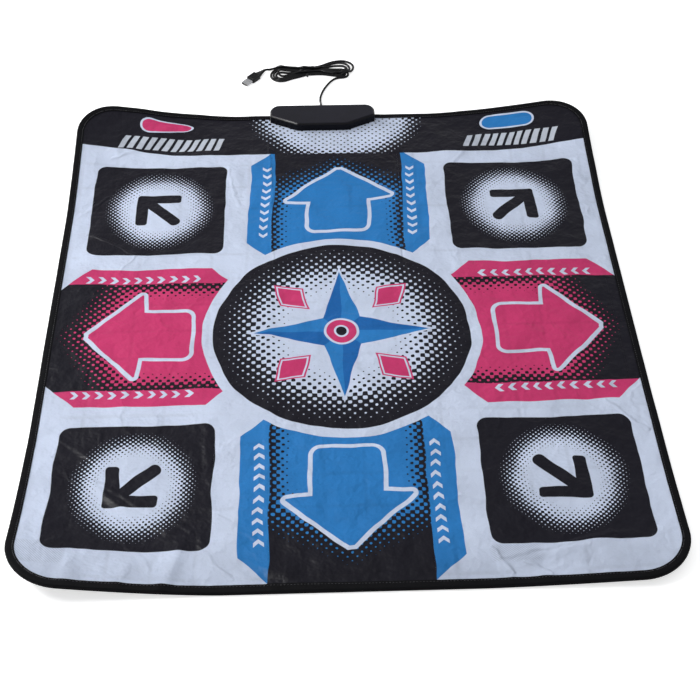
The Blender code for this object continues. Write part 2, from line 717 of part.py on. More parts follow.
def make_box_upper():
    """Cover of the control box, with four screw bosses and the lead's hole."""
    lid = plate("housing_upper", [box_outline()], BOX_RIM_Z, BOX_TOP)
    round_edges(lid, BOX_EDGE_ROUND, 2, lambda a, b: min(a.z, b.z) > BOX_TOP - 1e-5)
    ceiling = BOX_TOP - BOX_WALL
    room = plate("lid_room", [box_outline(-BOX_WALL)], -FAR, ceiling)
    lid = combine(lid, room, "DIFFERENCE")
    bosses = [(x, y, BOX_RIM_Z) for x, y in front_screws()]
    bosses += [(x, y, BASE_THICKNESS + LAYER_GAP) for x, y in rear_screws()]
    buried = ceiling + BOX_WALL / 2
    for x, y, foot in bosses:
        boss = turned("lid_boss", [(0.0, buried), (BOSS_RADIUS, buried),
                                   (BOSS_RADIUS, foot), (0.0, foot)], ROUND_STEPS, (x, y, 0.0))
        lid = combine(lid, boss, "UNION")
        radius = SCREW_RADIUS + SCREW_CLEARANCE
        top = BOX_SCREW_TIP + LAYER_GAP
        bore = turned("lid_bore", [(0.0, top), (radius, top), (radius, -FAR), (0.0, -FAR)],
                      HOLE_STEPS, (x, y, 0.0))
        lid = combine(lid, bore, "DIFFERENCE")
    radius = GROMMET_NECK + LAYER_GAP
    hole = turned("lead_hole", [(0.0, BOX_WALL * 2), (radius, BOX_WALL * 2),
                                (radius, -BOX_WALL * 2), (0.0, -BOX_WALL * 2)],
                  ROUND_STEPS, (CABLE_X, BOX_BACK_Y, CABLE_Z), "Y")
    lid = combine(lid, hole, "DIFFERENCE")
    store(lid, CASE)


def make_box_screws():
    """Countersunk screws from below, through the mat's tongue at the front."""
    places = front_screws() + rear_screws()
    names = ("front_left", "front_right", "rear_left", "rear_right")
    for name, (x, y) in zip(names, places):
        profile = [(0.0, BOX_SCREW_TIP), (SCREW_RADIUS, BOX_SCREW_TIP),
                   (SCREW_RADIUS, SCREW_HEAD_HEIGHT + LAYER_GAP / 2),
                   (SCREW_HEAD_RADIUS, LAYER_GAP / 2), (0.0, LAYER_GAP / 2)]
        screw = turned("housing_screw_" + name, profile, HOLE_STEPS, (x, y, 0.0))
        store(screw, STEEL)


def make_electronics():
    """Board, its parts, and the clamp that holds the film's tail on it."""
    holes = [round_hole(x, y, SCREW_RADIUS + SCREW_CLEARANCE) for x, y in clamp_screws()]
    half = BOARD_WIDTH / 2
    outline = [(BOX_X - half, BOARD_FRONT_Y), (BOX_X + half, BOARD_FRONT_Y),
               (BOX_X + half, BOARD_FRONT_Y + BOARD_DEPTH), (BOX_X - half, BOARD_FRONT_Y + BOARD_DEPTH)]
    store(plate("circuit_board", [outline] + holes, BOARD_Z, BOARD_TOP_Z), BOARD)

    for name, offset, size, surface in (
            ("controller_chip", BOX_X + CHIP_OFFSET, CHIP_SIZE, CHIP),
            ("crystal", BOX_X + CRYSTAL_OFFSET, CRYSTAL_SIZE, STEEL),
            ("wire_header", CABLE_X, HEADER_SIZE, NYLON)):
        centre = (offset, PARTS_Y, BOARD_TOP_Z + LAYER_GAP + size[2] / 2)
        store(block(name, centre, size), surface)

    tail_start = TONGUE_Y + LAYER_GAP
    tail = block("film_tail", (BOX_X, tail_start + TAIL_LENGTH / 2, UPPER_FILM_Z + FILM_THICKNESS / 2),
                 (TAIL_WIDTH, TAIL_LENGTH, FILM_THICKNESS))
    store(tail, FILM)
    strip = block("pressure_strip", (BOX_X, CLAMP_Y, STRIP_Z + STRIP_THICKNESS / 2),
                  (TAIL_WIDTH, CLAMP_BAR_DEPTH, STRIP_THICKNESS))
    store(strip, RUBBER)

    half = CLAMP_BAR_LENGTH / 2
    depth = CLAMP_BAR_DEPTH / 2
    outline = [(BOX_X - half, CLAMP_Y - depth), (BOX_X + half, CLAMP_Y - depth),
               (BOX_X + half, CLAMP_Y + depth), (BOX_X - half, CLAMP_Y + depth)]
    bar_top = CLAMP_BAR_Z + CLAMP_BAR_THICKNESS
    store(plate("clamp_bar", [outline] + holes, CLAMP_BAR_Z, bar_top), NYLON)

    for name, (x, y) in zip(("left", "right"), clamp_screws()):
        seat = bar_top + LAYER_GAP
        profile = [(0.0, seat + CLAMP_HEAD_HEIGHT), (SCREW_HEAD_RADIUS, seat + CLAMP_HEAD_HEIGHT),
                   (SCREW_HEAD_RADIUS, seat), (SCREW_RADIUS, seat),
                   (SCREW_RADIUS, CLAMP_SCREW_FLOOR + LAYER_GAP), (0.0, CLAMP_SCREW_FLOOR + LAYER_GAP)]
        store(turned("clamp_screw_" + name, profile, HOLE_STEPS, (x, y, 0.0)), STEEL)


def make_grommet():
    """Rubber bush in the back wall, with a flange inside and a nose outside."""
    bore = CABLE_RADIUS + LAYER_GAP
    wall_in = -BOX_WALL - LAYER_GAP
    profile = [(bore, GROMMET_LENGTH), (GROMMET_NOSE, GROMMET_LENGTH),
               (GROMMET_FLANGE, LAYER_GAP + GROMMET_COLLAR), (GROMMET_FLANGE, LAYER_GAP),
               (GROMMET_NECK, LAYER_GAP), (GROMMET_NECK, wall_in),
               (GROMMET_FLANGE, wall_in), (GROMMET_FLANGE, wall_in - GROMMET_FLANGE_THICKNESS),
               (bore, wall_in - GROMMET_FLANGE_THICKNESS), (bore, GROMMET_LENGTH)]
    bush = turned("cable_grommet", profile, ROUND_STEPS, (CABLE_X, BOX_BACK_Y, CABLE_Z), "Y")
    store(bush, RUBBER)


def bundle_points():
    return [(x, BOX_BACK_Y + y) for x, y in BUNDLE_OUTLINE]


def wall_entry(target):
    """Point and outward direction of the bundle's wall nearest to a place."""
    route = smooth_route(bundle_points(), 3, closed=True)
    sides = [(route[i - 1], route[i]) for i in range(len(route))]
    near, far = min(sides, key=lambda side: ((side[0] + side[1]) / 2 - target).length)
    middle = (near + far) / 2
    outward = Vector((far.y - near.y, near.x - far.x)).normalized()
    return middle + outward * LAYER_GAP, outward


def cord_into_bundle(points, target, height, steps):
    """A cord's smooth route, with a short straight end square to the bundle."""
    end, outward = wall_entry(Vector(target))
    before = end + outward * ENTRY_RUN
    route = smooth_route(list(points) + [(before.x, before.y, height)], steps)
    return route + [Vector((end.x, end.y, height))]


def waist_limits():
    """Front and back of the bundle where the tie goes round it."""
    route = smooth_route(bundle_points(), 6, closed=True)
    crossing = [p.y for p in route if abs(p.x - TIE_X) < TIE_WIDTH]
    return min(crossing), max(crossing)


def plug_frame():
    """Plug axis from tip to cable, with its width and height directions."""
    along = Vector((math.cos(PLUG_ANGLE), math.sin(PLUG_ANGLE), 0.0))
    across = Vector((-along.y, along.x, 0.0))
    frame = Matrix((along, across, Vector((0.0, 0.0, 1.0)))).transposed().to_4x4()
    frame.translation = Vector((PLUG_TIP_X, PLUG_TIP_Y, BODY_HEIGHT / 2))
    return frame


def neck_end():
    return plug_frame() @ Vector((SHELL_LENGTH + LAYER_GAP + BODY_LENGTH + NECK_LENGTH, 0.0, 0.0))


def make_lead():
    """Lead to the bundle, the bundle itself, and the short end to the plug."""
    target = (LEAD_ENTRY_X, BOX_BACK_Y + LEAD_ENTRY_Y)
    lead = cord_into_bundle(LEAD_ROUTE, target, CABLE_FLOOR_Z, 2)
    store(tube("cable_lead", lead, CABLE_RADIUS), RUBBER)

    route = smooth_route(bundle_points(), 3, closed=True)
    bundle = plate("cable_hank", [[(p.x, p.y) for p in route]], 0.0, BUNDLE_HEIGHT)
    front, back = waist_limits()
    middle = (front + back) / 2
    depth = TIE_THICKNESS + 2 * LAYER_GAP
    groove_width = TIE_WIDTH + 2 * LAYER_GAP
    collar = block("tie_groove", (TIE_X, middle, BUNDLE_HEIGHT / 2), (groove_width, FAR, FAR))
    core = block("tie_core", (TIE_X, middle, BUNDLE_HEIGHT / 2),
                 (groove_width * 2, back - front - 2 * depth, BUNDLE_HEIGHT - 2 * depth))
    collar = combine(collar, core, "DIFFERENCE")
    store(combine(bundle, collar, "DIFFERENCE"), RUBBER)

    band_width = back - front - 2 * LAYER_GAP
    band_height = BUNDLE_HEIGHT - 2 * LAYER_GAP
    tie = block("twist_tie", (TIE_X, middle, BUNDLE_HEIGHT / 2), (TIE_WIDTH, band_width, band_height))
    inside = block("tie_inside", (TIE_X, middle, BUNDLE_HEIGHT / 2),
                   (TIE_WIDTH * 2, band_width - 2 * TIE_THICKNESS, band_height - 2 * TIE_THICKNESS))
    tie = combine(tie, inside, "DIFFERENCE")
    for side in (-1, 1):
        end_y = middle + side * (band_width / 2 + TIE_END_LENGTH / 2 - TIE_THICKNESS / 2)
        end = block("tie_end", (TIE_X, end_y, TIE_END_Z),
                    (TIE_END_WIDTH, TIE_END_LENGTH, TIE_END_THICKNESS))
        tie = combine(tie, end, "UNION")
    store(tie, RUBBER)

    start = neck_end()
    along = plug_frame().to_3x3() @ Vector((1.0, 0.0, 0.0))
    joint = start + along * LAYER_GAP
    target = (BUNDLE_OUTLINE[0][0], BOX_BACK_Y + TAIL_ENTRY_Y)
    tail = cord_into_bundle([joint, joint + along * TAIL_RUN], target, BODY_HEIGHT / 2, 3)
    store(tube("cable_tail", tail, CABLE_RADIUS), RUBBER)


def place_on_plug(obj):
    obj.matrix_basis = plug_frame() @ obj.matrix_basis
    return obj


def make_plug():
    """Flat four-contact plug: moulded body, steel shell, tongue and contacts."""
    body_start = SHELL_LENGTH + LAYER_GAP
    body = block("plug_body", (body_start + BODY_LENGTH / 2, 0.0, 0.0),
                 (BODY_LENGTH, BODY_WIDTH, BODY_HEIGHT))
    body.data.transform(body.matrix_basis)
    body.matrix_basis = Matrix.Identity(4)
    round_edges(body, BODY_ROUND, 2, lambda a, b: abs(a.x - b.x) > BODY_LENGTH / 2)
    neck_start = body_start + BODY_LENGTH
    neck = turned("plug_neck", [(0.0, NECK_LENGTH), (NECK_TIP_RADIUS, NECK_LENGTH),
                                (NECK_RADIUS, 0.0), (NECK_RADIUS, -NECK_ROOT), (0.0, -NECK_ROOT)],
                  ROUND_STEPS, (0.0, 0.0, 0.0))
    neck.data.transform(Matrix.Rotation(math.pi / 2, 4, "Y"))
    neck.location.x = neck_start
    body = combine(body, neck, "UNION")
    store(place_on_plug(body), RUBBER)

    shell = block("plug_shell", (SHELL_LENGTH / 2, 0.0, 0.0), (SHELL_LENGTH, SHELL_WIDTH, SHELL_HEIGHT))
    mouth = block("shell_mouth", (SHELL_LENGTH / 2, 0.0, 0.0),
                  (SHELL_LENGTH * 2, SHELL_WIDTH - 2 * SHELL_WALL, SHELL_HEIGHT - 2 * SHELL_WALL))
    shell = combine(shell, mouth, "DIFFERENCE")
    store(place_on_plug(shell), STEEL)

    tongue_top = SHELL_HEIGHT / 2 - SHELL_WALL - LAYER_GAP
    tongue_low = tongue_top - TONGUE_THICKNESS
    tongue_length = SHELL_LENGTH - TONGUE_SETBACK
    tongue = block("plug_tongue", (SHELL_LENGTH - tongue_length / 2, 0.0, (tongue_top + tongue_low) / 2),
                   (tongue_length, SHELL_WIDTH - 2 * (SHELL_WALL + LAYER_GAP), TONGUE_THICKNESS))
    store(place_on_plug(tongue), NYLON)

    strip_z = tongue_low - LAYER_GAP - CONTACT_THICKNESS / 2
    for i in range(4):
        strip_y = (i - 1.5) * CONTACT_PITCH
        strip = block("plug_contact_%d" % (i + 1), (SHELL_LENGTH - CONTACT_LENGTH / 2, strip_y, strip_z),
                      (CONTACT_LENGTH, CONTACT_WIDTH, CONTACT_THICKNESS))
        store(place_on_plug(strip), BRASS)


make_covers_and_films()
make_step_zones()
make_binding()
make_box_lower()
make_box_upper()
make_box_screws()
make_electronics()
make_grommet()
make_lead()
make_plug()
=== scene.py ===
"""Looks of the soft dance mat controller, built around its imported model.

Metres, +Z up. The mat lies on the floor with its centre at the origin, and +Y runs to
the control box. Prints are worked out in millimetres from Object coordinates.
"""
import math

import bpy
import numpy as np
from mathutils import Matrix, Vector, geometry, kdtree, noise


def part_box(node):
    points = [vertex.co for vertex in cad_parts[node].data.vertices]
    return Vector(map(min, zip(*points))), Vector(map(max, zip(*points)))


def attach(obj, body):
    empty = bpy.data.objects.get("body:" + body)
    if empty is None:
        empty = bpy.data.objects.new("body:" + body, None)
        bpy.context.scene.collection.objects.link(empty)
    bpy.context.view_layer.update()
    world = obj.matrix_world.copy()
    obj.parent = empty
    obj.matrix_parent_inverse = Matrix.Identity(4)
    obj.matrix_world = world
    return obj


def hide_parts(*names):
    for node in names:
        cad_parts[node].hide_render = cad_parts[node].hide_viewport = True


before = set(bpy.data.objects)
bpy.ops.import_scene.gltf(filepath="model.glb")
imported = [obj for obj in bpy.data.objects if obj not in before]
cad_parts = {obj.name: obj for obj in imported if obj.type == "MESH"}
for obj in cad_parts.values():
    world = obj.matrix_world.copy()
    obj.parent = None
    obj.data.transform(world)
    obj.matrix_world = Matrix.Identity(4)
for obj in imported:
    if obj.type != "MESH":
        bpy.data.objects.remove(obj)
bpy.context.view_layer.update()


# The view: a camera above the front edge, a white sweep under the mat, and three soft
# lamps. The floor keeps the mat's shadow, and shows white where it is lit.
class Field:
    """A node's output, which sums can be written with: it varies over the surface."""

    def __init__(self, socket):
        self.socket = socket
        self.tree = socket.id_data
        self.vector = socket.type in ("VECTOR", "RGBA")

    def __add__(self, other):
        return maths("ADD", self, other)

    __radd__ = __add__

    def __sub__(self, other):
        return maths("SUBTRACT", self, other)

    def __rsub__(self, other):
        return maths("SUBTRACT", other, self)

    def __mul__(self, other):
        number = isinstance(other, float) or isinstance(other, Field) and not other.vector
        return maths("SCALE" if self.vector and number else "MULTIPLY", self, other)

    def __truediv__(self, other):
        return maths("DIVIDE", self, other)

    def __rtruediv__(self, other):
        return maths("DIVIDE", other, self)

    def __abs__(self):
        return maths("ABSOLUTE", self)


def put(socket, value):
    """Link a field to a socket, or set the socket's value."""
    if isinstance(value, Field):
        value.tree.links.new(value.socket, socket)
    else:
        socket.default_value = value


def node(tree, kind, inputs=(), **settings):
    """A node's outputs. Its inputs are set or linked by number or name."""
    made = tree.nodes.new("ShaderNode" + kind)
    for name, value in settings.items():
        setattr(made, name, value)
    for key, value in inputs.items() if isinstance(inputs, dict) else enumerate(inputs):
        put(made.inputs[key], value)
    return [Field(socket) for socket in made.outputs]


def maths(operation, *values, vector=False):
    """A sum of fields and plain values. One of them at least is a field."""
    fields = [value for value in values if isinstance(value, Field)]
    vector = vector or any(field.vector for field in fields)
    inputs = {0: values[0], "Scale": values[1]} if operation == "SCALE" else values
    made = node(fields[0].tree, "VectorMath" if vector else "Math", inputs, operation=operation)
    return made[1 if operation in ("LENGTH", "DOT_PRODUCT") else 0]


def folded(operation, values):
    total = values[0]
    for value in values[1:]:
        total = maths(operation, total, value)
    return total


def most(*values):
    return folded("MAXIMUM", values)


def new_tree(owner):
    """The emptied node tree of a material or a world."""
    owner.use_nodes = True
    owner.node_tree.nodes.clear()
    return owner.node_tree


def shown_by_ray(tree, lighting, background):
    """One shader lights the object, and another is what the camera sees behind it,
    straight, mirrored or through glass."""
    rays = {ray.socket.name: ray for ray in node(tree, "LightPath")}
    seen = most(*[rays["Is %s Ray" % kind] for kind in ("Camera", "Glossy", "Transmission")])
    return node(tree, "MixShader", (seen, lighting, background))[0]


def srgb(red, green, blue):
    """A colour as seen on screen, from 0 to 255, as the shader wants it."""
    values = [red / 255, green / 255, blue / 255]
    return (*[v / 12.92 if v <= 0.04045 else ((v + 0.055) / 1.055) ** 2.4 for v in values], 1.0)


def new_object(name, data):
    """An object in the scene, at the origin."""
    made = bpy.data.objects.new(name, data)
    bpy.context.scene.collection.objects.link(made)
    return made


def primitive(name, operator, **sizes):
    """A new primitive, with its name, selected alone."""
    bpy.ops.object.select_all(action="DESELECT")
    operator(**sizes)
    made = bpy.context.object
    made.name = made.data.name = name
    return made


def own_frame(place, *own_axes):
    """The matrix of a frame with its origin at a place and its own three axes."""
    return Matrix.Translation(place) @ Matrix(own_axes).transposed().to_4x4()


CAMERA_PLACE = Vector((-0.0404, -1.3563, 1.3354))
CAMERA_PITCH = 0.8032
CAMERA_YAW = -0.0393
CAMERA_ROLL = 0.0067
view_along = Vector((math.sin(-CAMERA_YAW) * math.cos(CAMERA_PITCH),
                     math.cos(CAMERA_YAW) * math.cos(CAMERA_PITCH), -math.sin(CAMERA_PITCH)))
level_right = Vector((math.cos(CAMERA_YAW), math.sin(CAMERA_YAW), 0.0))
level_up = level_right.cross(view_along)
view_right = level_right * math.cos(CAMERA_ROLL) + level_up * math.sin(CAMERA_ROLL)
view_up = level_up * math.cos(CAMERA_ROLL) - level_right * math.sin(CAMERA_ROLL)
camera_data = bpy.data.cameras.new("photo_view")
camera_data.lens = 69.22
camera_data.sensor_width = 36.0
camera_data.clip_start = 0.01
camera = new_object("photo_view", camera_data)
camera.matrix_world = own_frame(CAMERA_PLACE, view_right, view_up, -view_along)
bpy.context.scene.camera = camera

PLAIN_WHITE = (1.0, 1.0, 1.0, 1.0)
floor = primitive("floor", bpy.ops.mesh.primitive_plane_add, size=14.0, location=(0.0, 0.0, -0.0002))
floor_paint = bpy.data.materials.new("floor_paint")
tree = new_tree(floor_paint)
matt, = node(tree, "BsdfDiffuse", {"Color": (0.86, 0.86, 0.86, 1.0)})
bright, = node(tree, "Emission", {"Color": PLAIN_WHITE, "Strength": 0.60})
both, = node(tree, "AddShader", (matt, bright))
node(tree, "OutputMaterial", {"Surface": shown_by_ray(tree, matt, both)})
floor.data.materials.append(floor_paint)

world = bpy.data.worlds.new("studio")
bpy.context.scene.world = world
tree = new_tree(world)
ambient, = node(tree, "Background", {"Color": (0.97, 0.985, 1.0, 1.0), "Strength": 0.44})
white, = node(tree, "Background", {"Color": PLAIN_WHITE, "Strength": 1.0})
node(tree, "OutputWorld", {"Surface": shown_by_ray(tree, ambient, white)})

# the glint lamp is seen only as a bright line in glossy edges
for name, power, size, place in (("lamp_over", 11.0, 2.2, (-0.3, 0.2, 2.4)),
                                 ("lamp_left", 28.0, 1.0, (-2.0, 1.2, 1.2)),
                                 ("lamp_low", 11.2, 0.42, (-1.38, -0.34, 1.58)),
                                 ("lamp_glint", 80.0, 0.42, (-1.38, -0.34, 1.58))):
    lamp_data = bpy.data.lights.new(name, "AREA")
    lamp_data.energy = power
    lamp_data.size = size
    lamp = new_object(name, lamp_data)
    lamp.location = place
    lamp.rotation_euler = (-Vector(place)).to_track_quat("-Z", "Y").to_euler()
    lamp.visible_diffuse = name != "lamp_glint"

bpy.context.scene.view_settings.view_transform = "Standard"


# The bottom cover: a black cloth with rows of rubber dots against slipping. It lies on
# the floor, rises with the curled corners, and its rim is sewn into the tape.
EDGE_X = 0.410
EDGE_Y = 0.465
CORNER_RADIUS = 0.066
BOX_X = -0.017
BOX_FRONT_Y = 0.423
BOX_BACK_Y = 0.476
BOX_HALF = 0.0855
NOSE_HALF = 0.041
SHOULDER_Y = 0.446
NOTCH_HALF = 0.0861
TONGUE_Y = 0.445
CURL_REACH = 0.182
CURL_POWER = 1.46
CORNER_LIFTS = {(-1, 1): 0.036, (1, 1): 0.033, (-1, -1): 0.036, (1, -1): 0.014}
MILLIMETRES = 1000.0
FLAT = (1.0, 1.0, 0.0)
OBJECT_PLACE = 3  # of a Texture Coordinate node's outputs
MIX_FACTOR, MIX_BELOW, MIX_ABOVE, MIX_RESULT = 0, 6, 7, 2  # a Mix node's colour sockets


def axes(place):
    return node(place.tree, "SeparateXYZ", (place,))


def ramp(value, low, high, start=0.0, finish=1.0):
    """A soft step from start to finish as a value goes from low to high."""
    return node(value.tree, "MapRange", {
        "Value": value, "From Min": low, "From Max": high, "To Min": start, "To Max": finish},
        interpolation_type="SMOOTHSTEP")[0]


def paint(below, above, mask):
    """One colour over another, where the mask is one."""
    return node(mask.tree, "Mix", {MIX_FACTOR: mask, MIX_BELOW: below, MIX_ABOVE: above},
                data_type="RGBA")[MIX_RESULT]


def tint(colour, shade):
    """A plain colour made lighter or darker by a field."""
    return maths("SCALE", colour[:3], shade, vector=True)


def speckle(place, scale, detail=2.0):
    """Even noise from 0 to 1, as a number and as three of them."""
    return node(place.tree, "TexNoise", {"Vector": place, "Scale": scale, "Detail": detail})


def shader_group(name, inputs, outputs):
    """A new node group, its inputs as fields, and its output sockets."""
    group = bpy.data.node_groups.new(name, "ShaderNodeTree")
    for way, sockets in (("INPUT", inputs), ("OUTPUT", outputs)):
        for label, kind in sockets.items():
            group.interface.new_socket(name=label, in_out=way, socket_type="NodeSocket" + kind)
    start = group.nodes.new("NodeGroupInput")
    finish = group.nodes.new("NodeGroupOutput")
    return group, *[Field(start.outputs[label]) for label in inputs], finish.inputs


def use_group(group, **values):
    """The outputs of a placed group, by name."""
    tree = next(value.tree for value in values.values() if isinstance(value, Field))
    return {made.socket.name: made for made in node(tree, "Group", values, node_tree=group)}


def surface(name, finish, bump=0.5, depth=0.001, metallic=0.0, coat=0.0, specular=0.5, sheen=0.0):
    """A Principled material. Its finish gives colour, roughness and height, or None, for
    a place on the object."""
    made = bpy.data.materials.new(name)
    tree = new_tree(made)
    colour, roughness, height = finish(node(tree, "TexCoord")[OBJECT_PLACE])
    inputs = {"Base Color": colour, "Roughness": roughness, "Metallic": metallic,
              "Coat Weight": coat, "Specular IOR Level": specular, "Sheen Weight": sheen}
    if height is not None:
        inputs["Normal"], = node(tree, "Bump", {"Strength": bump, "Distance": depth, "Height": height})
    node(tree, "OutputMaterial", {"Surface": node(tree, "BsdfPrincipled", inputs)[0]})
    return made


threads, place, pitch, result = shader_group(
    "woven_threads", {"Place": "Vector", "Pitch": "Float"}, {"Height": "Float", "Shade": "Float"})
across, along = [maths("SINE", axis * (math.tau / pitch)) for axis in axes(place)[:2]]
weave = across * along * 0.5 + speckle(place, 900.0, 1.0)[0]
put(result["Height"], weave)
put(result["Shade"], ramp(weave, -0.2, 1.4, 0.93, 1.05))

dots, place, pitch, ink, result = shader_group(
    "dot_screen", {"Place": "Vector", "Pitch": "Float", "Ink": "Float"}, {"Dots": "Float"})
across, along = [maths("COSINE", axis * (math.tau / math.sqrt(2) / pitch)) for axis in axes(place)[:2]]
put(result["Dots"], ramp(ink - (across * along * 0.5 + 0.5), -0.035, 0.035))


def base_finish(place):
    spots = use_group(dots, Place=place, Pitch=0.0085, Ink=0.22)["Dots"]
    weave = use_group(threads, Place=place, Pitch=0.0014)
    cloth = tint(srgb(30, 30, 34), weave["Shade"])
    return paint(cloth, srgb(58, 58, 62), spots), 0.8, weave["Height"] * 0.15 + spots


def arc(centre_x, centre_y, radius, start, end, steps):
    """Points on an arc, angles in degrees."""
    angles = [math.radians(start + (end - start) * i / steps) for i in range(steps + 1)]
    return [(centre_x + radius * math.cos(a), centre_y + radius * math.sin(a)) for a in angles]


def mat_rim(inset, notch=()):
    """The mat's outline, drawn in from its edge, with the box's notch at the back."""
    radius = CORNER_RADIUS - inset
    x, y = EDGE_X - CORNER_RADIUS, EDGE_Y - CORNER_RADIUS
    points = arc(x, -y, radius, -90, 0, 18) + arc(x, y, radius, 0, 90, 18)
    if notch:
        points += [(notch[0][0], EDGE_Y - inset), *notch, (notch[-1][0], EDGE_Y - inset)]
    return points + arc(-x, y, radius, 90, 180, 18) + arc(-x, -y, radius, 180, 270, 18)


def lift(x, y):
    """How far the curled corners raise a place on the mat."""
    distance = (EDGE_X - abs(x) + EDGE_Y - abs(y)) / math.sqrt(2)
    if distance >= CURL_REACH:
        return 0.0
    height = CORNER_LIFTS[(1 if x > 0 else -1, 1 if y > 0 else -1)]
    return height * (1 - max(distance, 0.0) / CURL_REACH) ** CURL_POWER


def inside(points, outline):
    """Which of many points lie inside a closed outline."""
    found = np.zeros(len(points), bool)
    px, py = points[:, 0], points[:, 1]
    for (ax, ay), (bx, by) in zip(outline, outline[1:] + outline[:1]):
        if ay != by:
            spans = (ay > py) != (by > py)
            found ^= spans & (px < (bx - ax) * (py - ay) / (by - ay) + ax)
    return found


def short_steps(points, step):
    """An open line with no side longer than a step."""
    line = []
    for (ax, ay), (bx, by) in zip(points, points[1:]):
        count = max(1, math.ceil(math.hypot(bx - ax, by - ay) / step))
        line += [(ax + (bx - ax) * i / count, ay + (by - ay) * i / count) for i in range(count)]
    return line + [points[-1]]


def cut_cloth(rim, shapes, step):
    """Flat triangles inside the rim, and for each which of the shapes it lies in."""
    border, sides = [], []
    for outline in [rim] + shapes:
        loop = short_steps(outline + outline[:1], step)[:-1]
        first = len(border)
        border += loop
        sides += [(first + i, first + (i + 1) % len(loop)) for i in range(len(loop))]
    near = kdtree.KDTree(len(border))
    for i, (x, y) in enumerate(border):
        near.insert((x, y, 0.0), i)
    near.balance()
    columns = np.arange(-EDGE_X, EDGE_X, step)
    rows = np.arange(-EDGE_Y, EDGE_Y, step)
    grid = np.array([(x, y) for y in rows for x in columns])
    grid = grid[inside(grid, rim)]
    points = [Vector(p) for p in border]
    points += [Vector(p) for p in grid if near.find((p[0], p[1], 0.0))[2] > 0.62 * step]
    corners, _, faces, _, _, _ = geometry.delaunay_2d_cdt(points, sides, [], 0, 1e-7)
    middles = np.array([sum((corners[i] for i in face), Vector((0, 0))) / 3 for face in faces])
    shape_of = np.where(inside(middles, rim), 0, -1)
    for number, shape in enumerate(shapes):
        shape_of[inside(middles, shape)] = number + 1
    return corners, faces, shape_of


def pick(*pieces):
    """Select these pieces alone, the last of them active."""
    bpy.ops.object.select_all(action="DESELECT")
    for piece in pieces:
        piece.select_set(True)
    bpy.context.view_layer.objects.active = pieces[-1]


def edit_all():
    """Edit mode, with everything selected."""
    bpy.ops.object.mode_set(mode="EDIT")
    bpy.ops.mesh.select_all(action="SELECT")


def leave_edit():
    bpy.ops.object.mode_set(mode="OBJECT")


def face_outwards():
    """Turn every face outwards, and leave edit mode."""
    bpy.ops.mesh.select_all(action="SELECT")
    bpy.ops.mesh.normals_make_consistent(inside=False)
    leave_edit()


def modify(piece, kind, **settings):
    """Add a modifier and apply it."""
    bpy.context.view_layer.objects.active = piece
    made = piece.modifiers.new(kind, kind)
    for name, value in settings.items():
        setattr(made, name, value)
    bpy.ops.object.modifier_apply(modifier=kind)


def raise_cloth(name, cut, number, height, thickness):
    """One shape of a cut cloth, raised to its height, with a thickness."""
    corners, faces, shape_of = cut
    faces = [face for face, shape in zip(faces, shape_of) if shape == number]
    used = sorted({i for face in faces for i in face})
    index = {old: new for new, old in enumerate(used)}
    mesh = bpy.data.meshes.new(name)
    mesh.from_pydata([(corners[i].x, corners[i].y, height(corners[i].x, corners[i].y))
                      for i in used], [], [[index[i] for i in face] for face in faces])
    cloth = new_object(name, mesh)
    pick(cloth)
    edit_all()
    bpy.ops.mesh.tris_convert_to_quads()
    face_outwards()
    if cloth.data.polygons[0].normal.z < 0:
        cloth.data.flip_normals()
    modify(cloth, "SOLIDIFY", thickness=thickness, offset=-1.0)
    bpy.ops.object.shade_smooth_by_angle(angle=math.radians(40))
    return cloth


def finish_piece(piece, look, slot, *nodes, body="mat"):
    """A piece gets its look, rides on a body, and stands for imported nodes."""
    piece.data.materials.clear()
    piece.data.materials.append(look)
    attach(piece, body)
    if nodes:
        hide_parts(*nodes)


def rim_distance(x, y):
    """Distance in from the mat's edge, round its corners too."""
    dx, dy = EDGE_X - abs(x), EDGE_Y - abs(y)
    if dx < CORNER_RADIUS and dy < CORNER_RADIUS:
        return CORNER_RADIUS - math.hypot(CORNER_RADIUS - dx, CORNER_RADIUS - dy)
    return min(dx, dy)


BASE_TOP = 0.0007
FOLD_THICKNESS = 0.0010
FOLD_START = 0.017
FOLD_END = 0.0115
BASE_STEP = 0.009


def base_level(x, y):
    """Upper side of the bottom cover: over the tape's lower fold at the rim."""
    step = max(0.0, min(1.0, (FOLD_START - rim_distance(x, y)) / (FOLD_START - FOLD_END)))
    return lift(x, y) + BASE_TOP + FOLD_THICKNESS * step * step * (3 - 2 * step)


RIM_INSET = 0.0011
box_gap = [(BOX_X + side * reach, y - clear) for side, reach, y, clear in (
    (1, NOTCH_HALF, SHOULDER_Y, 0.0003), (1, NOSE_HALF + 0.0003, BOX_FRONT_Y, 0.0006),
    (-1, NOSE_HALF + 0.0003, BOX_FRONT_Y, 0.0006), (-1, NOTCH_HALF, SHOULDER_Y, 0.0003))]
base = raise_cloth("base_cloth", cut_cloth(mat_rim(RIM_INSET, box_gap), [], BASE_STEP), 0,
                   base_level, 0.0005)
finish_piece(base, surface("non_slip_cloth", base_finish, 0.8, 0.0003, sheen=0.1),
             "non_slip_base", "bottom_cover")


# The layers inside: two plastic films with printed carbon tracks, a foam sheet with ten
# holes between them, and a patch of the upper film at each hole. They are die-cut.
def dress(node_name, look):
    """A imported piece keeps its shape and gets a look."""
    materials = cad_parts[node_name].data.materials
    materials.clear()
    materials.append(look)


def film_finish(place):
    spot = place * MILLIMETRES
    x, y, _ = axes(spot)
    clear = paint(srgb(176, 180, 184), srgb(196, 200, 204), speckle(spot, 0.02)[0])
    lines = maths("PINGPONG", x + y, 4.0)
    return paint(clear, srgb(70, 70, 74), ramp(lines, 2.6, 3.0)), 0.32, None


def foam_finish(place):
    cells = node(place.tree, "TexVoronoi", {"Vector": place, "Scale": 900.0})[0]
    return paint(srgb(222, 221, 214), srgb(238, 237, 231), speckle(place, 60.0)[0]), 0.95, cells


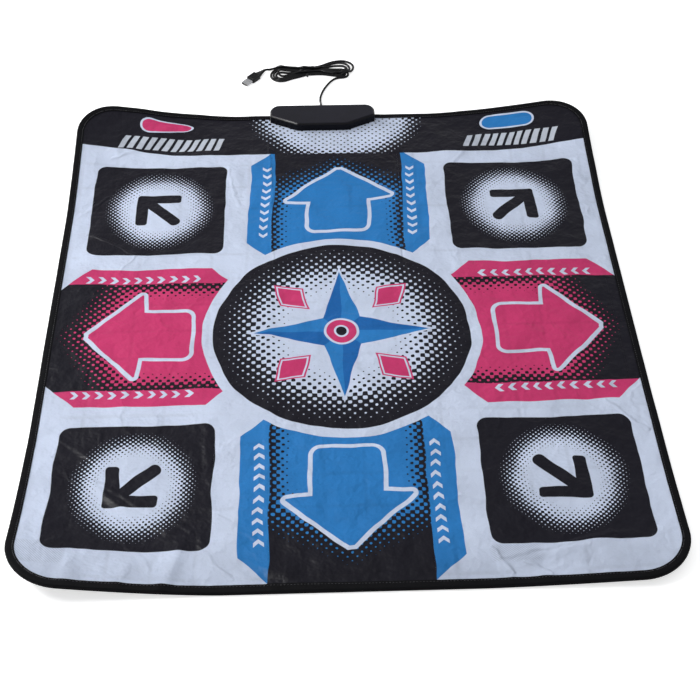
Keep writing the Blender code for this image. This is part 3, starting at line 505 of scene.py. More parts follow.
film_look = surface("printed_film", film_finish, metallic=0.1)
zone_names = ("back_left", "back", "back_right", "left", "right", "front_left", "front",
              "front_right", "select", "start")
for name in ["lower_contact_film", "upper_contact_film", "film_tail"] + [
        "contact_" + zone for zone in zone_names]:
    dress(name, film_look)
dress("spacer_foam", surface("spacer_foam_cells", foam_finish, 0.6, 0.0004))


# The printed cover: a white polyester cloth, printed in black, blue and pink, which lies
# on the foam. Each of its ten step zones is a cloth of its own, which sinks when stepped on.
GRID_Y = -0.037
COLUMN_X = 0.271
ROW_Y = 0.267
PAD_HALF = 0.101
PAD_CORNER = 0.015
PANEL_HALF = 0.0995
RING_RADIUS = 0.194
COVER_TOP = 0.0063
COVER_STEP = 0.004
COVER_THICKNESS = 0.0008
STEP_CLOTH_SHARE = 0.9988
FLAT_NEAR_BOX = 0.016
HALF_ROOT = math.sqrt(0.5)

block, place, half, corner, result = shader_group(
    "round_block", {"Place": "Vector", "Half": "Vector", "Corner": "Float"}, {"Distance": "Float"})
reach = abs(place) - half + tint(FLAT, corner)
outside = maths("LENGTH", maths("MAXIMUM", reach, (0.0, 0.0, 0.0)) * FLAT)
within = maths("MINIMUM", most(*axes(reach)[:2]), 0.0)
put(result["Distance"], outside + within - corner)

line_gap, place, start, end, result = shader_group(
    "line_gap", {"Place": "Vector", "Start": "Vector", "End": "Vector"}, {"Distance": "Float"})
run = end - start
reach = place - start
share = maths("DOT_PRODUCT", reach, run) / maths("DOT_PRODUCT", run, run)
share = maths("MINIMUM", most(share, 0.0), 1.0)
put(result["Distance"], maths("LENGTH", reach - run * share))

WHITE = srgb(203, 213, 234)
BLACK = srgb(17, 16, 26)
BLUE = srgb(44, 122, 190)
DEEP_BLUE = srgb(30, 98, 168)
PINK = srgb(200, 59, 110)
mat_print, spot, result = shader_group(
    "mat_print", {"Place": "Vector"}, {"Colour": "Color", "Ink": "Float"})


def edge(distance, soft=0.3):
    """One where a distance is below zero, with a soft edge."""
    return ramp(distance, -soft, soft, 1.0, 0.0)


def joined(*masks):
    return folded("MULTIPLY", masks)


def least(*values):
    return folded("MINIMUM", values)


def at(x, y):
    return node(x.tree, "CombineXYZ", (x, y))[0]


def overlaid(picture, *layers):
    """Inks laid over a picture, each where its mask is one."""
    for ink, mask in layers:
        picture = paint(picture, ink, mask)
    return picture


def screen(pitch, ink):
    """Black dots where the ink is light, and white dots where it is heavy."""
    return use_group(dots, Place=spot, Pitch=pitch, Ink=ink * 1.10 + -0.05)["Dots"]


def block_distance(x, y, half_x, half_y, corner):
    return use_group(block, Place=at(x, y), Half=(half_x, half_y, 0.0), Corner=corner)["Distance"]


def by_way(level, standing):
    """A size that the columns to the sides and those to front and back have apart."""
    return upright * (standing - level) + level


spot_x, y, _ = axes(spot)
x = spot_x - ramp(y, 150.0, 330.0, 0.0, 5.5) * ramp(abs(spot_x), 138.0, 168.0, 1.0, 0.0)
grid_y = y + 37.0
across_x, across_y = abs(x), abs(grid_y)
side_x, side_y = maths("SIGN", x), maths("SIGN", grid_y)
out, aside = most(across_x, across_y), least(across_x, across_y)
radius = maths("LENGTH", at(x, grid_y))
upright = maths("GREATER_THAN", across_y, across_x)
diagonal = (out + aside) * HALF_ROOT
ring_edge = RING_RADIUS * MILLIMETRES

# the four arrow columns, each with two side strips of chevrons
ARROW_TIP = 364.1
BARB_OUT = 285.5
BARB_ASIDE = 78.6
STRIP_MIDDLE = 112.0
panel_side = aside - by_way(103.5, 99.5)
column = edge(most(
    aside - by_way(side_x * 2.2 + 135.7, 136.5),
    diagonal - by_way(side_x * 3.2 + 351.1, side_y * -3.9 + 360.6),
    ring_edge - radius, out - 404.0 - upright * 500.0,
    least(panel_side, (aside - out + 52.0) * HALF_ROOT)))
panel = edge(panel_side)
crossed = maths("SIGN", x * grid_y)
head_shift = by_way(side_x * 4.5 - 7.5, side_y * -3.0 - 3.0)
barb_shift = by_way(crossed * 1.6 + 9.0, crossed * 5.0 + side_y * 2.6 + 7.0)
head_out = out - head_shift - aside / BARB_ASIDE * barb_shift
head_line = least(*[use_group(line_gap, Place=at(head_out, aside), Start=(BARB_OUT, BARB_ASIDE, 0.0),
                              End=(tip, 0.0, 0.0))["Distance"] for tip in (ARROW_TIP, BARB_OUT)])
in_head = maths("LESS_THAN", most(BARB_OUT - head_out, head_out + aside - ARROW_TIP), 0.0)
head = most(head_line * (in_head * -2.0 + 1.0) - 4.5, head_out - 366.3)
shaft_out = out - by_way(side_x * 4.1, side_y * 2.4)
arrow = least(head, block_distance(shaft_out - 260.5, aside, 50.0, 47.2, 14.0))
shadow = most(ramp(aside * 0.5 + out, 294.0, 408.0), ramp(aside, 64.0, 116.0))
off_strip = abs(aside - STRIP_MIDDLE)
bent = out - off_strip * 0.9
chevrons = joined(edge(5.4 - maths("PINGPONG", bent + 9.0, 8.5)), edge(off_strip - 6.5),
                  edge(abs(bent - 280.0) - 85.0))
columns = overlaid(paint(PINK, BLUE, upright),
                   (BLACK, joined(screen(8.3, shadow), edge(2.0 - arrow), panel)),
                   (WHITE, joined(edge(abs(arrow) - 3.0), panel)), (WHITE, chevrons))

# the black band at the back, with its glow round the box and its rows of bars
BAND_START = 361.5
band = edge(ramp(across_x, 220.0, 400.0) * (side_x * -3.0 + 11.5) + BAND_START - y)
glow = maths("LENGTH", at(x / 142.0, (y - 465.0) / 128.0))
band_ink = ramp(glow, 0.64, 1.08, 0.0, 0.80) + ramp(glow, 0.05, 0.5, 0.07, 0.20)
slanted = x - (y - 389.0) * 0.36 - maths("GREATER_THAN", x, 0.0) * 6.0
bars = joined(edge(2.4 - maths("PINGPONG", slanted, 6.8)),
              most(edge(abs(slanted + 258.4) - 81.6), edge(abs(slanted - 278.8) - 74.8)),
              edge(abs(y - 388.5) - 14.5))
band_colour = overlaid(WHITE, (BLACK, screen(8.1, band_ink)), (srgb(190, 196, 208), bars))

# the two ovals: the left one narrows to its right end and bows
off_oval = x + 270.0
narrow = 17.5 / (off_oval * -0.125 + 12.9)
bowed = maths("POWER", off_oval, 2.0) * 0.0016 + 429.4
oval_left = block_distance(off_oval, (y - bowed) * narrow, 42.5, 17.5, 17.0)
oval_right = block_distance(x - 283.0, y - 431.0, 44.0, 17.0, 17.0)

# the round centre: a ring, a glowing black disc, and a plain compass star with diamonds
disc = paint(WHITE, BLACK, screen(9.6, ramp(radius, 60.0, 184.0)))
star = (out - 122.0) * 0.264 + aside * 0.9645
dark_half = maths("GREATER_THAN", x * grid_y * (across_x - across_y), 0.0)
tile = (abs(diagonal - 98.0) / 36.0 + (out - aside) * HALF_ROOT / 24.0 - 1.0) * 20.0

# the four corner squares, each with a glow and an arrow to its corner
corner_x, corner_y = across_x - COLUMN_X * MILLIMETRES, across_y - ROW_Y * MILLIMETRES
glow = maths("LENGTH", at((corner_x - side_x * 1.5) * 1.05, corner_y * 0.96))
symbol = least(block_distance(corner_x, corner_y - 25.0, 34.0, 9.0, 5.0),
               block_distance(corner_x - 25.0, corner_y, 9.0, 34.0, 5.0),
               block_distance((corner_x + corner_y) * HALF_ROOT + 8.0,
                              (corner_x - corner_y) * HALF_ROOT, 38.0, 9.0, 8.5))
square = block_distance(corner_x, corner_y, 101.0, 101.0, 15.0)
square_colour = overlaid(WHITE, (BLACK, screen(5.0, ramp(glow, 38.0, 93.0))), (BLACK, edge(symbol)))

picture = overlaid(
    paint(WHITE, columns, column), (band_colour, band),
    (WHITE, edge(oval_left)), (PINK, edge(oval_left + 3.4)),
    (WHITE, edge(oval_right)), (BLUE, edge(oval_right + 3.4)),
    (WHITE, edge(radius - ring_edge)), (disc, edge(radius - 179.0)),
    (PINK, edge(tile)), (WHITE, edge(abs(tile + 3.4) - 1.1)),
    (WHITE, edge(star - 3.0)), (paint(BLUE, DEEP_BLUE, dark_half), edge(star)),
    (WHITE, edge(radius - 25.0)), (PINK, edge(radius - 21.5)),
    (WHITE, edge(radius - 11.0)), (BLACK, edge(radius - 8.0)), (square_colour, edge(square)))
put(result["Colour"], picture)
put(result["Ink"], ramp(node(mat_print, "RGBToBW", (picture,))[0], 0.5, 0.1))

# sharp creases from folding: start and end in plan, half width and height, in millimetres
SHARP_CREASES = (
    (-397, 212, -352, 262, 2.4, 1.2), (-372, 176, -300, 132, 2.2, 1.6), (-298, 128, -318, 92, 2.0, 1.0),
    (-392, -205, -318, -262, 3.4, 1.2), (-330, -290, -196, -372, 3.2, 1.2),
    (-286, -372, -240, -432, 3.0, 0.9), (-160, -352, -108, -398, 2.2, 0.7),
    (180, -424, 318, -392, 2.8, 1.8), (344, -180, 392, -232, 2.4, 1.2), (-176, -405, -142, -448, 1.8, 1.2),
    (168, -408, 190, -446, 2.0, 1.4), (206, -430, 236, -452, 2.0, 1.3), (-104, 440, -96, 96, 1.8, 1.0),
    (93, 400, 97, 78, 1.6, -1.2), (-168, 322, -150, 236, 2.6, 1.0), (-352, 348, -318, 372, 2.6, 1.2),
    (188, 330, 214, 372, 2.4, 1.0), (306, 96, 392, 60, 2.2, 0.8))
# patches of fine slanting lines, pressed in while it lay folded, drawn as painted shade:
# # middle and half width along x, then along y
PRESSED_PATCHES = ((-372.0, 34.0, -412.0, 20.0), (198.0, 34.0, -418.0, 15.0))


def cover_finish(place):
    """The print, which has crept a little, on a weave with creases. Soft lines, 52 mm
    apart, are where the foam's seams press through. These lines, two patches of pressed
    slanting lines and the front rim are darkened with painted shade."""
    spot = place * MILLIMETRES
    x, y, _ = axes(spot)
    crept = (speckle(spot, 0.018, 1.5)[1] - (0.5, 0.5, 0.5)) * 9.0
    printed = use_group(mat_print, Place=(spot + crept) * FLAT)
    weave = use_group(threads, Place=place, Pitch=0.0011)
    # the seam lines: a groove in the height, and painted shade in the colour
    embossed = most(*[ramp(maths("PINGPONG", axis + 1200.0, 26.0), 21.5, 25.6) for axis in (x, y)])
    embossed = embossed * ramp(speckle(spot, 0.012, 1.0)[0], 0.38, 0.62)
    # the pressed patches: painted shade of their fine lines, in colour only
    pressed_line_shade = 0.0
    for middle_x, half_x, middle_y, half_y in PRESSED_PATCHES:
        pressed_line_shade = ramp(abs(x - middle_x), half_x, half_x - 8.0) * ramp(
            abs(y - middle_y), half_y, half_y - 5.0) + pressed_line_shade
    pressed_line_shade = pressed_line_shade * ramp(maths("PINGPONG", x + y + 2000.0, 1.7), 0.6, 1.2)
    # painted shade along the front rim, patchy, darker towards the edge
    painted_rim_shade = ramp(y, -385.0, -445.0) * ramp(speckle(place, 30.0, 3.0)[0], 0.3, 0.7, 0.6, 1.3)
    shade = ramp(speckle(place, 14.0, 3.0)[0], 0.3, 0.7, 0.93, 1.03) * weave["Shade"]
    # these three marks darken the colour: painted shade
    for shade_mask, strength in ((embossed, -0.075), (pressed_line_shade, -0.20), (painted_rim_shade, -0.14)):
        shade = shade * (shade_mask * strength + 1.0)
    bent = (spot + speckle(spot, 0.035, 2.0)[1] * 14.0 + (-7.0, -7.0, 0.0)) * FLAT
    creases = 0.0
    for ax, ay, bx, by, half_width, rise in SHARP_CREASES:
        away = use_group(line_gap, Place=bent, Start=(ax, ay, 0.0), End=(bx, by, 0.0))["Distance"]
        creases = ramp(away, 0.0, 2.0 * half_width, rise, 0.0) + creases
    ridges = ramp(abs(speckle(place, 15.0, 4.0)[0] - 0.5), 0.0, 0.06, 1.0, 0.0) * 0.5
    height = (weave["Height"] * 0.035 + ridges + speckle(place, 34.0, 3.0)[0] * 7.0
              + creases + embossed * -0.25)
    return printed["Colour"] * shade, ramp(printed["Ink"], 0.0, 1.0, 0.62, 0.44), height


cover_look = surface("printed_cloth", cover_finish, 0.9, 0.001, specular=0.08)

# broad creases: start and end in plan, half width and height, in millimetres
CREASES = (
    (-103, 470, -98, -470, 7, 1.0), (88, 470, 98, -470, 7, -0.7), (94, 420, 86, 110, 4, 1.1),
    (280, 300, 335, 240, 9, 2.0), (-400, 232, -362, 272, 6, 1.6), (-366, 170, -302, 126, 5, 1.6),
    (-176, 345, -150, 300, 8, 1.8), (-392, -250, -306, -314, 6, 1.6), (-312, -309, -278, -343, 5, 3.0),
    (-278, -343, -195, -388, 6, 1.2), (-184, -205, -175, -300, 6, 1.5), (-203, -392, -227, -462, 9, 2.9),
    (205, -432, 330, -398, 7, 2.6), (300, -440, 380, -395, 8, 1.2), (-176, -405, -142, -450, 5, 1.5),
    (-262, -418, -276, -462, 8, 1.9), (-338, -412, -330, -460, 9, 1.7), (166, -404, 190, -452, 7, 2.3),
    (204, -434, 238, -460, 6, 1.8), (345, -190, 385, -225, 9, 1.6), (215, 350, 340, 338, 10, -0.9),
    (-330, 350, -210, 362, 11, 1.3), (-165, 210, -140, 150, 6, 0.9), (150, 345, 135, 200, 7, 0.8),
    (330, 120, 395, 75, 8, 1.1), (125, -130, 170, -200, 8, 0.8), (-390, 80, -330, 120, 9, 1.0),
    (-20, -425, 20, -440, 6, 1.0), (40, -280, 110, -330, 8, 0.7), (-130, -420, -60, -455, 8, 1.7),
    (-260, -120, -180, -150, 9, 0.7))


def wrinkles(x, y):
    """How far the loose cloth stands off the foam."""
    height = 1.9 * noise.noise(Vector((x * 8.0, y * 8.0, 3.1)))
    height += 1.7 * noise.noise(Vector((x * 21.0, y * 17.0, 7.7)))
    for *ends, half_width, rise in CREASES:
        ax, ay, bx, by = [end / MILLIMETRES for end in ends]
        length = math.hypot(bx - ax, by - ay)
        along = ((x - ax) * (bx - ax) + (y - ay) * (by - ay)) / length
        off = ((x - ax) * (by - ay) - (y - ay) * (bx - ax)) / length
        off += 0.004 * noise.noise(Vector((along * 22.0, rise, 0.4)))
        if -0.02 < along < length + 0.02 and abs(off) < half_width * 0.0026:
            taper = max(0.0, min(1.0, (along + 0.02) / 0.035, (length + 0.02 - along) / 0.035))
            height += rise * taper * math.exp(-(off * MILLIMETRES / half_width) ** 2)
    return max(height, -0.25 + 0.15 * height) / MILLIMETRES


def cover_level(x, y):
    """Upper side of the cover, which the control box holds flat."""
    from_box = math.hypot(max(abs(x - BOX_X) - BOX_HALF, 0.0), max(BOX_FRONT_Y - y, 0.0))
    calm = min(1.0, from_box / FLAT_NEAR_BOX)
    return COVER_TOP + lift(x, y) + wrinkles(x, y) * calm * calm * (3 - 2 * calm)


def square_outline(side_x, side_y):
    half = PAD_HALF - PAD_CORNER
    return [point for turn, (way_x, way_y) in enumerate(((1, -1), (1, 1), (-1, 1), (-1, -1)))
            for point in arc(side_x * COLUMN_X + way_x * half, GRID_Y + side_y * ROW_Y + way_y * half,
                             PAD_CORNER, turn * 90 - 90, turn * 90, 5)]


def panel_outline(reach, quarter_turns):
    """A panel with a hollow end round the centre ring, turned to its side."""
    spread = math.degrees(math.asin(PANEL_HALF / RING_RADIUS))
    points = [(PANEL_HALF, reach), (-PANEL_HALF, reach)]
    points += arc(0.0, 0.0, RING_RADIUS, 90 + spread, 90 - spread, 28)
    c, s = [round(way(quarter_turns * math.pi / 2)) for way in (math.cos, math.sin)]
    return [(x * c - y * s, GRID_Y + x * s + y * c) for x, y in points]


def oval_outline(x):
    y = EDGE_Y - 0.0345
    return arc(x + 0.027, y, 0.018, -90, 90, 12) + arc(x - 0.027, y, 0.018, 90, 270, 12)


def flat_area(outline):
    return abs(sum(ax * by - bx * ay for (ax, ay), (bx, by)
                   in zip(outline, outline[1:] + outline[:1]))) / 2


zone_outlines = [
    square_outline(-1, 1), panel_outline(0.399, 0), square_outline(1, 1), panel_outline(0.385, 1),
    panel_outline(0.385, 3), square_outline(-1, -1), panel_outline(0.403, 2), square_outline(1, -1),
    oval_outline(-0.270), oval_outline(0.280)]
zone_slots = ("black_cloth", "blue_cloth", "black_cloth", "pink_cloth", "pink_cloth",
              "black_cloth", "blue_cloth", "black_cloth", "pink_cloth", "blue_cloth")
tongue_gap = [(BOX_X + NOTCH_HALF, TONGUE_Y), (BOX_X - NOTCH_HALF, TONGUE_Y)]
cut = cut_cloth(mat_rim(RIM_INSET, tongue_gap), zone_outlines, COVER_STEP)
cover = raise_cloth("printed_cover", cut, 0, cover_level, COVER_THICKNESS)
finish_piece(cover, cover_look, "white_cloth", "top_cover")
for number, (zone, slot, outline) in enumerate(zip(zone_names, zone_slots, zone_outlines)):
    step_cloth = raise_cloth("step_cloth_" + zone, cut, number + 1, cover_level, COVER_THICKNESS)
    xs, ys = zip(*outline)
    middle = Vector(((min(xs) + max(xs)) / 2, (min(ys) + max(ys)) / 2))
    for vert in step_cloth.data.vertices:
        vert.co.xy = middle + (vert.co.xy - middle) * STEP_CLOTH_SHARE
    finish_piece(step_cloth, cover_look, slot, "pad_" + zone, body="zone_" + zone)
    max(xs) - min(xs)
    max(ys) - min(ys)
    "contact_" + zone
    flat_area(outline)


# The edge binding: a black woven tape, folded round the rim and sewn through with one
# row of stitches. It stops at each side of the control box.
TAPE_STEP = 0.004
STITCH_INSET = 0.0088
STITCH_PITCH = 0.0034
STITCH_HALF_SIZE = (0.00125, 0.00030, 0.00022)
TAPE_SECTION = (  # inset from the edge and height over the floor, in millimetres
    (11.0, 7.15), (10.4, 7.4), (9.7, 7.35), (8.8, 7.05), (7.9, 7.35), (6.0, 7.55), (4.0, 7.6),
    (2.2, 7.5), (1.1, 7.1), (0.35, 6.3), (0.0, 5.0), (0.0, 2.5), (0.35, 1.2), (1.1, 0.5),
    (2.2, 0.2), (5.0, 0.15), (8.0, 0.15), (8.8, 0.3), (9.6, 0.15), (11.0, 0.2), (11.0, 0.95),
    (2.4, 1.0), (1.3, 1.6), (0.85, 2.7), (0.85, 4.8), (1.3, 6.0), (2.4, 6.5), (8.8, 6.6), (11.0, 6.7))


def tape_line():
    """The mat's edge from one side of the box round to the other, with its outward side."""
    rim = mat_rim(0.0)
    back = len(rim) // 2
    start, finish = (BOX_X - NOTCH_HALF, EDGE_Y), (BOX_X + NOTCH_HALF, EDGE_Y)
    line = short_steps([start] + rim[back:] + rim[:back] + [finish], TAPE_STEP)
    line = [p for i, p in enumerate(line) if i == 0 or math.dist(p, line[i - 1]) > 1e-6]
    sides = []
    for i in range(len(line)):
        (ax, ay), (bx, by) = line[max(i - 1, 0)], line[min(i + 1, len(line) - 1)]
        length = math.hypot(bx - ax, by - ay)
        sides.append(((by - ay) / length, -(bx - ax) / length))
    return line, sides


def tape_point(i, inset, height):
    """A point of the tape at a place of its line: it follows the loose cloth on top."""
    x, y = line[i][0] - sides[i][0] * inset, line[i][1] - sides[i][1] * inset
    loose = cover_level(x, y) - COVER_TOP - lift(x, y)
    share = max(0.0, min(1.0, (height - 0.0012) / 0.0050))
    return Vector((x, y, height + lift(x, y) + loose * share))


line, sides = tape_line()
count = len(TAPE_SECTION)
verts, quads, way = [], [], [0.0]
for i in range(len(line)):
    if i:
        way.append(way[-1] + math.dist(line[i], line[i - 1]))
    pucker = 0.10 * math.sin(way[-1] * math.tau / 0.0125) + 0.08 * math.sin(way[-1] * math.tau / 0.031)
    for inset, height in TAPE_SECTION:
        raised = pucker if height > 7.0 and inset > 5.0 else 0.0
        verts.append(tape_point(i, inset / MILLIMETRES, (height + raised) / MILLIMETRES))
for i in range(len(line) - 1):
    for k in range(count):
        a, b = i * count + k, i * count + (k + 1) % count
        quads.append((a, b, b + count, a + count))
mesh = bpy.data.meshes.new("binding_tape")
mesh.from_pydata(verts, [], quads + [tuple(range(count))[::-1],
                                     tuple(range((len(line) - 1) * count, len(line) * count))])
tape_map = mesh.uv_layers.new(name="tape_map")
section_way = [0.0]
for start, end in zip(TAPE_SECTION, TAPE_SECTION[1:] + TAPE_SECTION[:1]):
    section_way.append(section_way[-1] + math.dist(start, end) / MILLIMETRES)
for face in mesh.polygons:
    ring = face.index % count if face.index < len(quads) else 0
    for loop in face.loop_indices:
        i, k = divmod(mesh.loops[loop].vertex_index, count)
        wrapped = k if k or ring != count - 1 else count
        tape_map.data[loop].uv = (way[i], section_way[wrapped])
tape = new_object("binding_tape", mesh)


def clean_up(piece, angle=40):
    """Merge what meets, turn the faces outwards, and shade by angle."""
    pick(piece)
    edit_all()
    bpy.ops.mesh.delete_loose(use_verts=True, use_edges=True, use_faces=False)
    bpy.ops.mesh.select_all(action="SELECT")
    bpy.ops.mesh.remove_doubles(threshold=1e-6)
    face_outwards()
    bpy.ops.object.shade_smooth_by_angle(angle=math.radians(angle))


def tape_finish(place):
    ways = node(place.tree, "UVMap", uv_map="tape_map")[0]
    weave = use_group(threads, Place=ways, Pitch=0.0013)
    worn = ramp(speckle(place, 60.0, 3.0)[0], 0.3, 0.7, 0.85, 1.2)
    return tint(srgb(6, 6, 9), weave["Shade"] * worn), 0.72, weave["Height"]


def thread_finish(place):
    return paint(srgb(24, 24, 30), srgb(52, 52, 60), speckle(place, 400.0, 2.0)[0]), 0.5, None


clean_up(tape, 50)
finish_piece(tape, surface("binding_weave", tape_finish, 0.5, 0.0003, specular=0.05),
             "binding_tape", "edge_binding")

stitch = primitive("stitch", bpy.ops.mesh.primitive_uv_sphere_add, segments=6, ring_count=5, radius=1.0)
stitch.data.transform(Matrix.Diagonal((*STITCH_HALF_SIZE, 1.0)))
stitches = []
distance = 0.004
while distance < way[-1] - 0.003:
    i = min(int(np.searchsorted(way, distance)), len(line) - 1)
    for height in (0.00712, 0.00025):
        seat = tape_point(i, STITCH_INSET, height)
        ahead = tape_point(min(i + 1, len(line) - 1), STITCH_INSET, height) - seat
        run = ahead.normalized() if ahead.length > 1e-6 else Vector((-sides[i][1], sides[i][0], 0))
        upward = run.cross(Vector((-sides[i][0], -sides[i][1], 0.0))).normalized()
        copied = new_object("stitch", stitch.data.copy())
        copied.data.transform(own_frame(seat, run, upward.cross(run), upward))
        stitches.append(copied)
    distance += STITCH_PITCH
bpy.data.objects.remove(stitch)
pick(*stitches[1:], stitches[0])
bpy.ops.object.join()
thread_row = stitches[0]
thread_row.name = thread_row.data.name = "binding_stitches"
bpy.ops.object.shade_smooth()
finish_piece(thread_row, surface("sewing_thread", thread_finish), "binding_tape")
4 * EDGE_X * EDGE_Y - sum(flat_area(outline) for outline in zone_outlines)


# The control box: two black moulded shells, screwed together from below through the
# mat's edge. The upper shell has a chamfered nose, rounded edges and a line round its foot.
LID_FOOT = 0.0066
LID_TOP = 0.0205
LID_WALL = 0.002
LID_REAR_RADIUS = 0.016
LID_NOSE_RADIUS = 0.0022
LID_TOP_RADIUS = 0.0030
LINE_DEPTH = 0.0004
LEAD_HOLE_RADIUS = 0.0035
BOSS_RADIUS = 0.0032
BOSS_HOLE_RADIUS = 0.0017
LINE_LOW = LID_FOOT + 0.0016
LINE_HIGH = LID_FOOT + 0.0022
LEAD_X = -0.0185
LEAD_Z = 0.0112


def select_where(piece, kind, wanted):
    """In edit mode, select the edges by their two ends, or faces by middle and normal."""
    bpy.ops.mesh.select_all(action="DESELECT")
    bpy.ops.mesh.select_mode(type=kind)
    bpy.ops.object.mode_set(mode="OBJECT")
    mesh = piece.data
    if kind == "EDGE":
        for side in mesh.edges:
            side.select = wanted(*[mesh.vertices[i].co for i in side.vertices])
    else:
        for face in mesh.polygons:
            face.select = wanted(face.center, face.normal)
    bpy.ops.object.mode_set(mode="EDIT")


def bevel_where(piece, wanted, offset, segments, profile=0.5):
    select_where(piece, "EDGE", wanted)
    bpy.ops.mesh.bevel(offset=offset, segments=segments, profile=profile, affect="EDGES")


def start_box(name, low, high):
    """A cube between two corners, with its place in its mesh, in edit mode."""
    piece = primitive(name, bpy.ops.mesh.primitive_cube_add, size=1.0)
    low, high = Vector(low), Vector(high)
    piece.data.transform(Matrix.Translation((low + high) / 2) @ Matrix.Diagonal((*(high - low), 1.0)))
    edit_all()
    return piece


def cut_away(piece, tool):
    """Take a shape out of a piece, and remove the shape."""
    modify(piece, "BOOLEAN", operation="DIFFERENCE", object=tool, solver="EXACT")
    bpy.data.objects.remove(tool)


def turned_piece(name, profile, frame_matrix, segments=32):
    """A turned piece: rings of (radius, height) pulled on from a circle, one by one."""
    piece = primitive(name, bpy.ops.mesh.primitive_circle_add, vertices=segments,
                      radius=profile[0][0], fill_type="NGON")
    piece.data.transform(Matrix.Translation((0.0, 0.0, profile[0][1])))
    edit_all()
    for (radius, height), (next_radius, next_height) in zip(profile, profile[1:]):
        scale, rise = next_radius / radius, next_height - height
        bpy.ops.mesh.extrude_region_move(TRANSFORM_OT_translate={"value": (0.0, 0.0, rise)})
        bpy.ops.transform.resize(value=(scale, scale, 1.0), center_override=(0.0, 0.0, next_height))
    face_outwards()
    piece.data.transform(frame_matrix)
    bpy.ops.object.shade_smooth_by_angle(angle=math.radians(40))
    return piece


lid = start_box("box_lid", (BOX_X - BOX_HALF, BOX_FRONT_Y, LID_FOOT), (BOX_X + BOX_HALF, BOX_BACK_Y, LID_TOP))
for side in (-1, 1):
    bpy.ops.mesh.select_all(action="SELECT")
    run = Vector((BOX_HALF - NOSE_HALF, SHOULDER_Y - BOX_FRONT_Y, 0.0))
    bpy.ops.mesh.bisect(plane_co=(BOX_X + side * NOSE_HALF, BOX_FRONT_Y, 0.0),
                        plane_no=(side * run.y, -run.x, 0.0), use_fill=True, clear_outer=True)
bevel_where(lid, lambda a, b: abs(a.z - b.z) > 0.01 and a.y > BOX_BACK_Y - 0.001,
            LID_REAR_RADIUS, 12)
bevel_where(lid, lambda a, b: abs(a.z - b.z) > 0.01 and a.y < SHOULDER_Y + 0.001,
            LID_NOSE_RADIUS, 4)
bevel_where(lid, lambda a, b: min(a.z, b.z) > LID_TOP - 0.0001, LID_TOP_RADIUS, 3, 0.30)
for level in (LINE_LOW, LINE_HIGH):
    bpy.ops.mesh.select_all(action="SELECT")
    bpy.ops.mesh.bisect(plane_co=(0.0, 0.0, level), plane_no=(0.0, 0.0, 1.0))
select_where(lid, "FACE", lambda c, n: abs(n.z) < 0.2 and LINE_LOW < c.z < LINE_HIGH)
bpy.ops.mesh.extrude_region_shrink_fatten(TRANSFORM_OT_shrink_fatten={"value": -LINE_DEPTH})
select_where(lid, "FACE", lambda c, n: n.z < -0.9 and c.z < LID_FOOT + 0.0001)
bpy.ops.mesh.delete(type="FACE")
leave_edit()
modify(lid, "SOLIDIFY", thickness=LID_WALL, offset=-1.0)
cut_away(lid, primitive("lead_hole", bpy.ops.mesh.primitive_cylinder_add, vertices=32,
                        radius=LEAD_HOLE_RADIUS, depth=0.012, rotation=(math.pi / 2, 0.0, 0.0),
                        location=(LEAD_X, BOX_BACK_Y, LEAD_Z)))
screw_places = [
    (BOX_X + side * reach, y, row + end, foot)
    for row, reach, y, foot in (("front_", 0.033, 0.434, LID_FOOT), ("rear_", 0.069, 0.4695, 0.0018))
    for side, end in ((-1, "left"), (1, "right"))]
bosses = [turned_piece("boss", [
    (BOSS_HOLE_RADIUS, 0.0148), (BOSS_HOLE_RADIUS, foot), (BOSS_RADIUS, foot),
    (BOSS_RADIUS, LID_TOP - 0.0015)], Matrix.Translation((x, y, 0.0)), 24)
    for x, y, _, foot in screw_places]
pick(*bosses, lid)
bpy.ops.object.join()
bpy.ops.object.shade_smooth_by_angle(angle=math.radians(32))

grain, place, scale, result = shader_group(
    "moulded_grain", {"Place": "Vector", "Scale": "Float"},
    {"Height": "Float", "Shade": "Float", "Scuff": "Float"})
broad = speckle(place, 25.0, 3.0)[0]
put(result["Height"], speckle(place, scale, 2.0)[0])
put(result["Shade"], ramp(broad, 0.3, 0.7, 0.88, 1.14))
put(result["Scuff"], ramp(broad, 0.35, 0.75))


def moulded(name, colour, rough, scale=1500.0, bump=0.3, specular=0.5, painted_shade_below=None):
    """Moulded plastic or rubber: a fine grain, and a sheen that handling has varied. Below a
    given height, if one is given, the colour is darker: painted shade on the walls under
    the top face."""
    def finish(place):
        parts = use_group(grain, Place=place, Scale=scale)
        shade = parts["Shade"]
        if painted_shade_below is not None:
            # painted shade: what lies below the top face is darker
            shade = shade * ramp(axes(place)[2], painted_shade_below - 0.0012, painted_shade_below - 0.0002, 0.35, 1.0)
        return tint(srgb(*colour), shade), parts["Scuff"] * 0.12 + (rough - 0.06), parts["Height"]

    return surface(name, finish, bump, 0.0002, specular=specular)


# the box's top stays lighter, and its walls and lower shell get painted shade
case_look = moulded("case_plastic_grain", (18, 18, 29), 0.2, bump=0.12, specular=0.11, painted_shade_below=LID_TOP)
finish_piece(lid, case_look, "case_plastic", "housing_upper")
dress("housing_lower", case_look)


# Screws: four countersunk ones from below hold the box, and two with flat heads hold
# the clamp bar. Each is turned, with a cross cut into its head.
def steel_finish(place):
    brushed = speckle(place * (1.0, 1.0, 12.0), 400.0, 2.0)[0]
    return (paint(srgb(128, 129, 133), srgb(170, 171, 174), brushed),
            ramp(speckle(place, 700.0, 2.0)[0], 0.3, 0.7, 0.24, 0.38), None)


CROSS_SIZE = (0.0028, 0.0006, 0.0014)


def screw(name, stands_for, profile, x, y, cross_z):
    piece = turned_piece(name, profile, Matrix.Translation((x, y, 0.0)), 24)
    for turn in (0.0, math.pi / 2):
        bar = primitive("cross_bar", bpy.ops.mesh.primitive_cube_add, size=1.0)
        bar.data.transform(Matrix.Translation((x, y, cross_z)) @ Matrix.Rotation(turn, 4, "Z")
                           @ Matrix.Diagonal((*CROSS_SIZE, 1.0)))
        cut_away(piece, bar)
    clean_up(piece)
    finish_piece(piece, steel_look, "steel", stands_for)


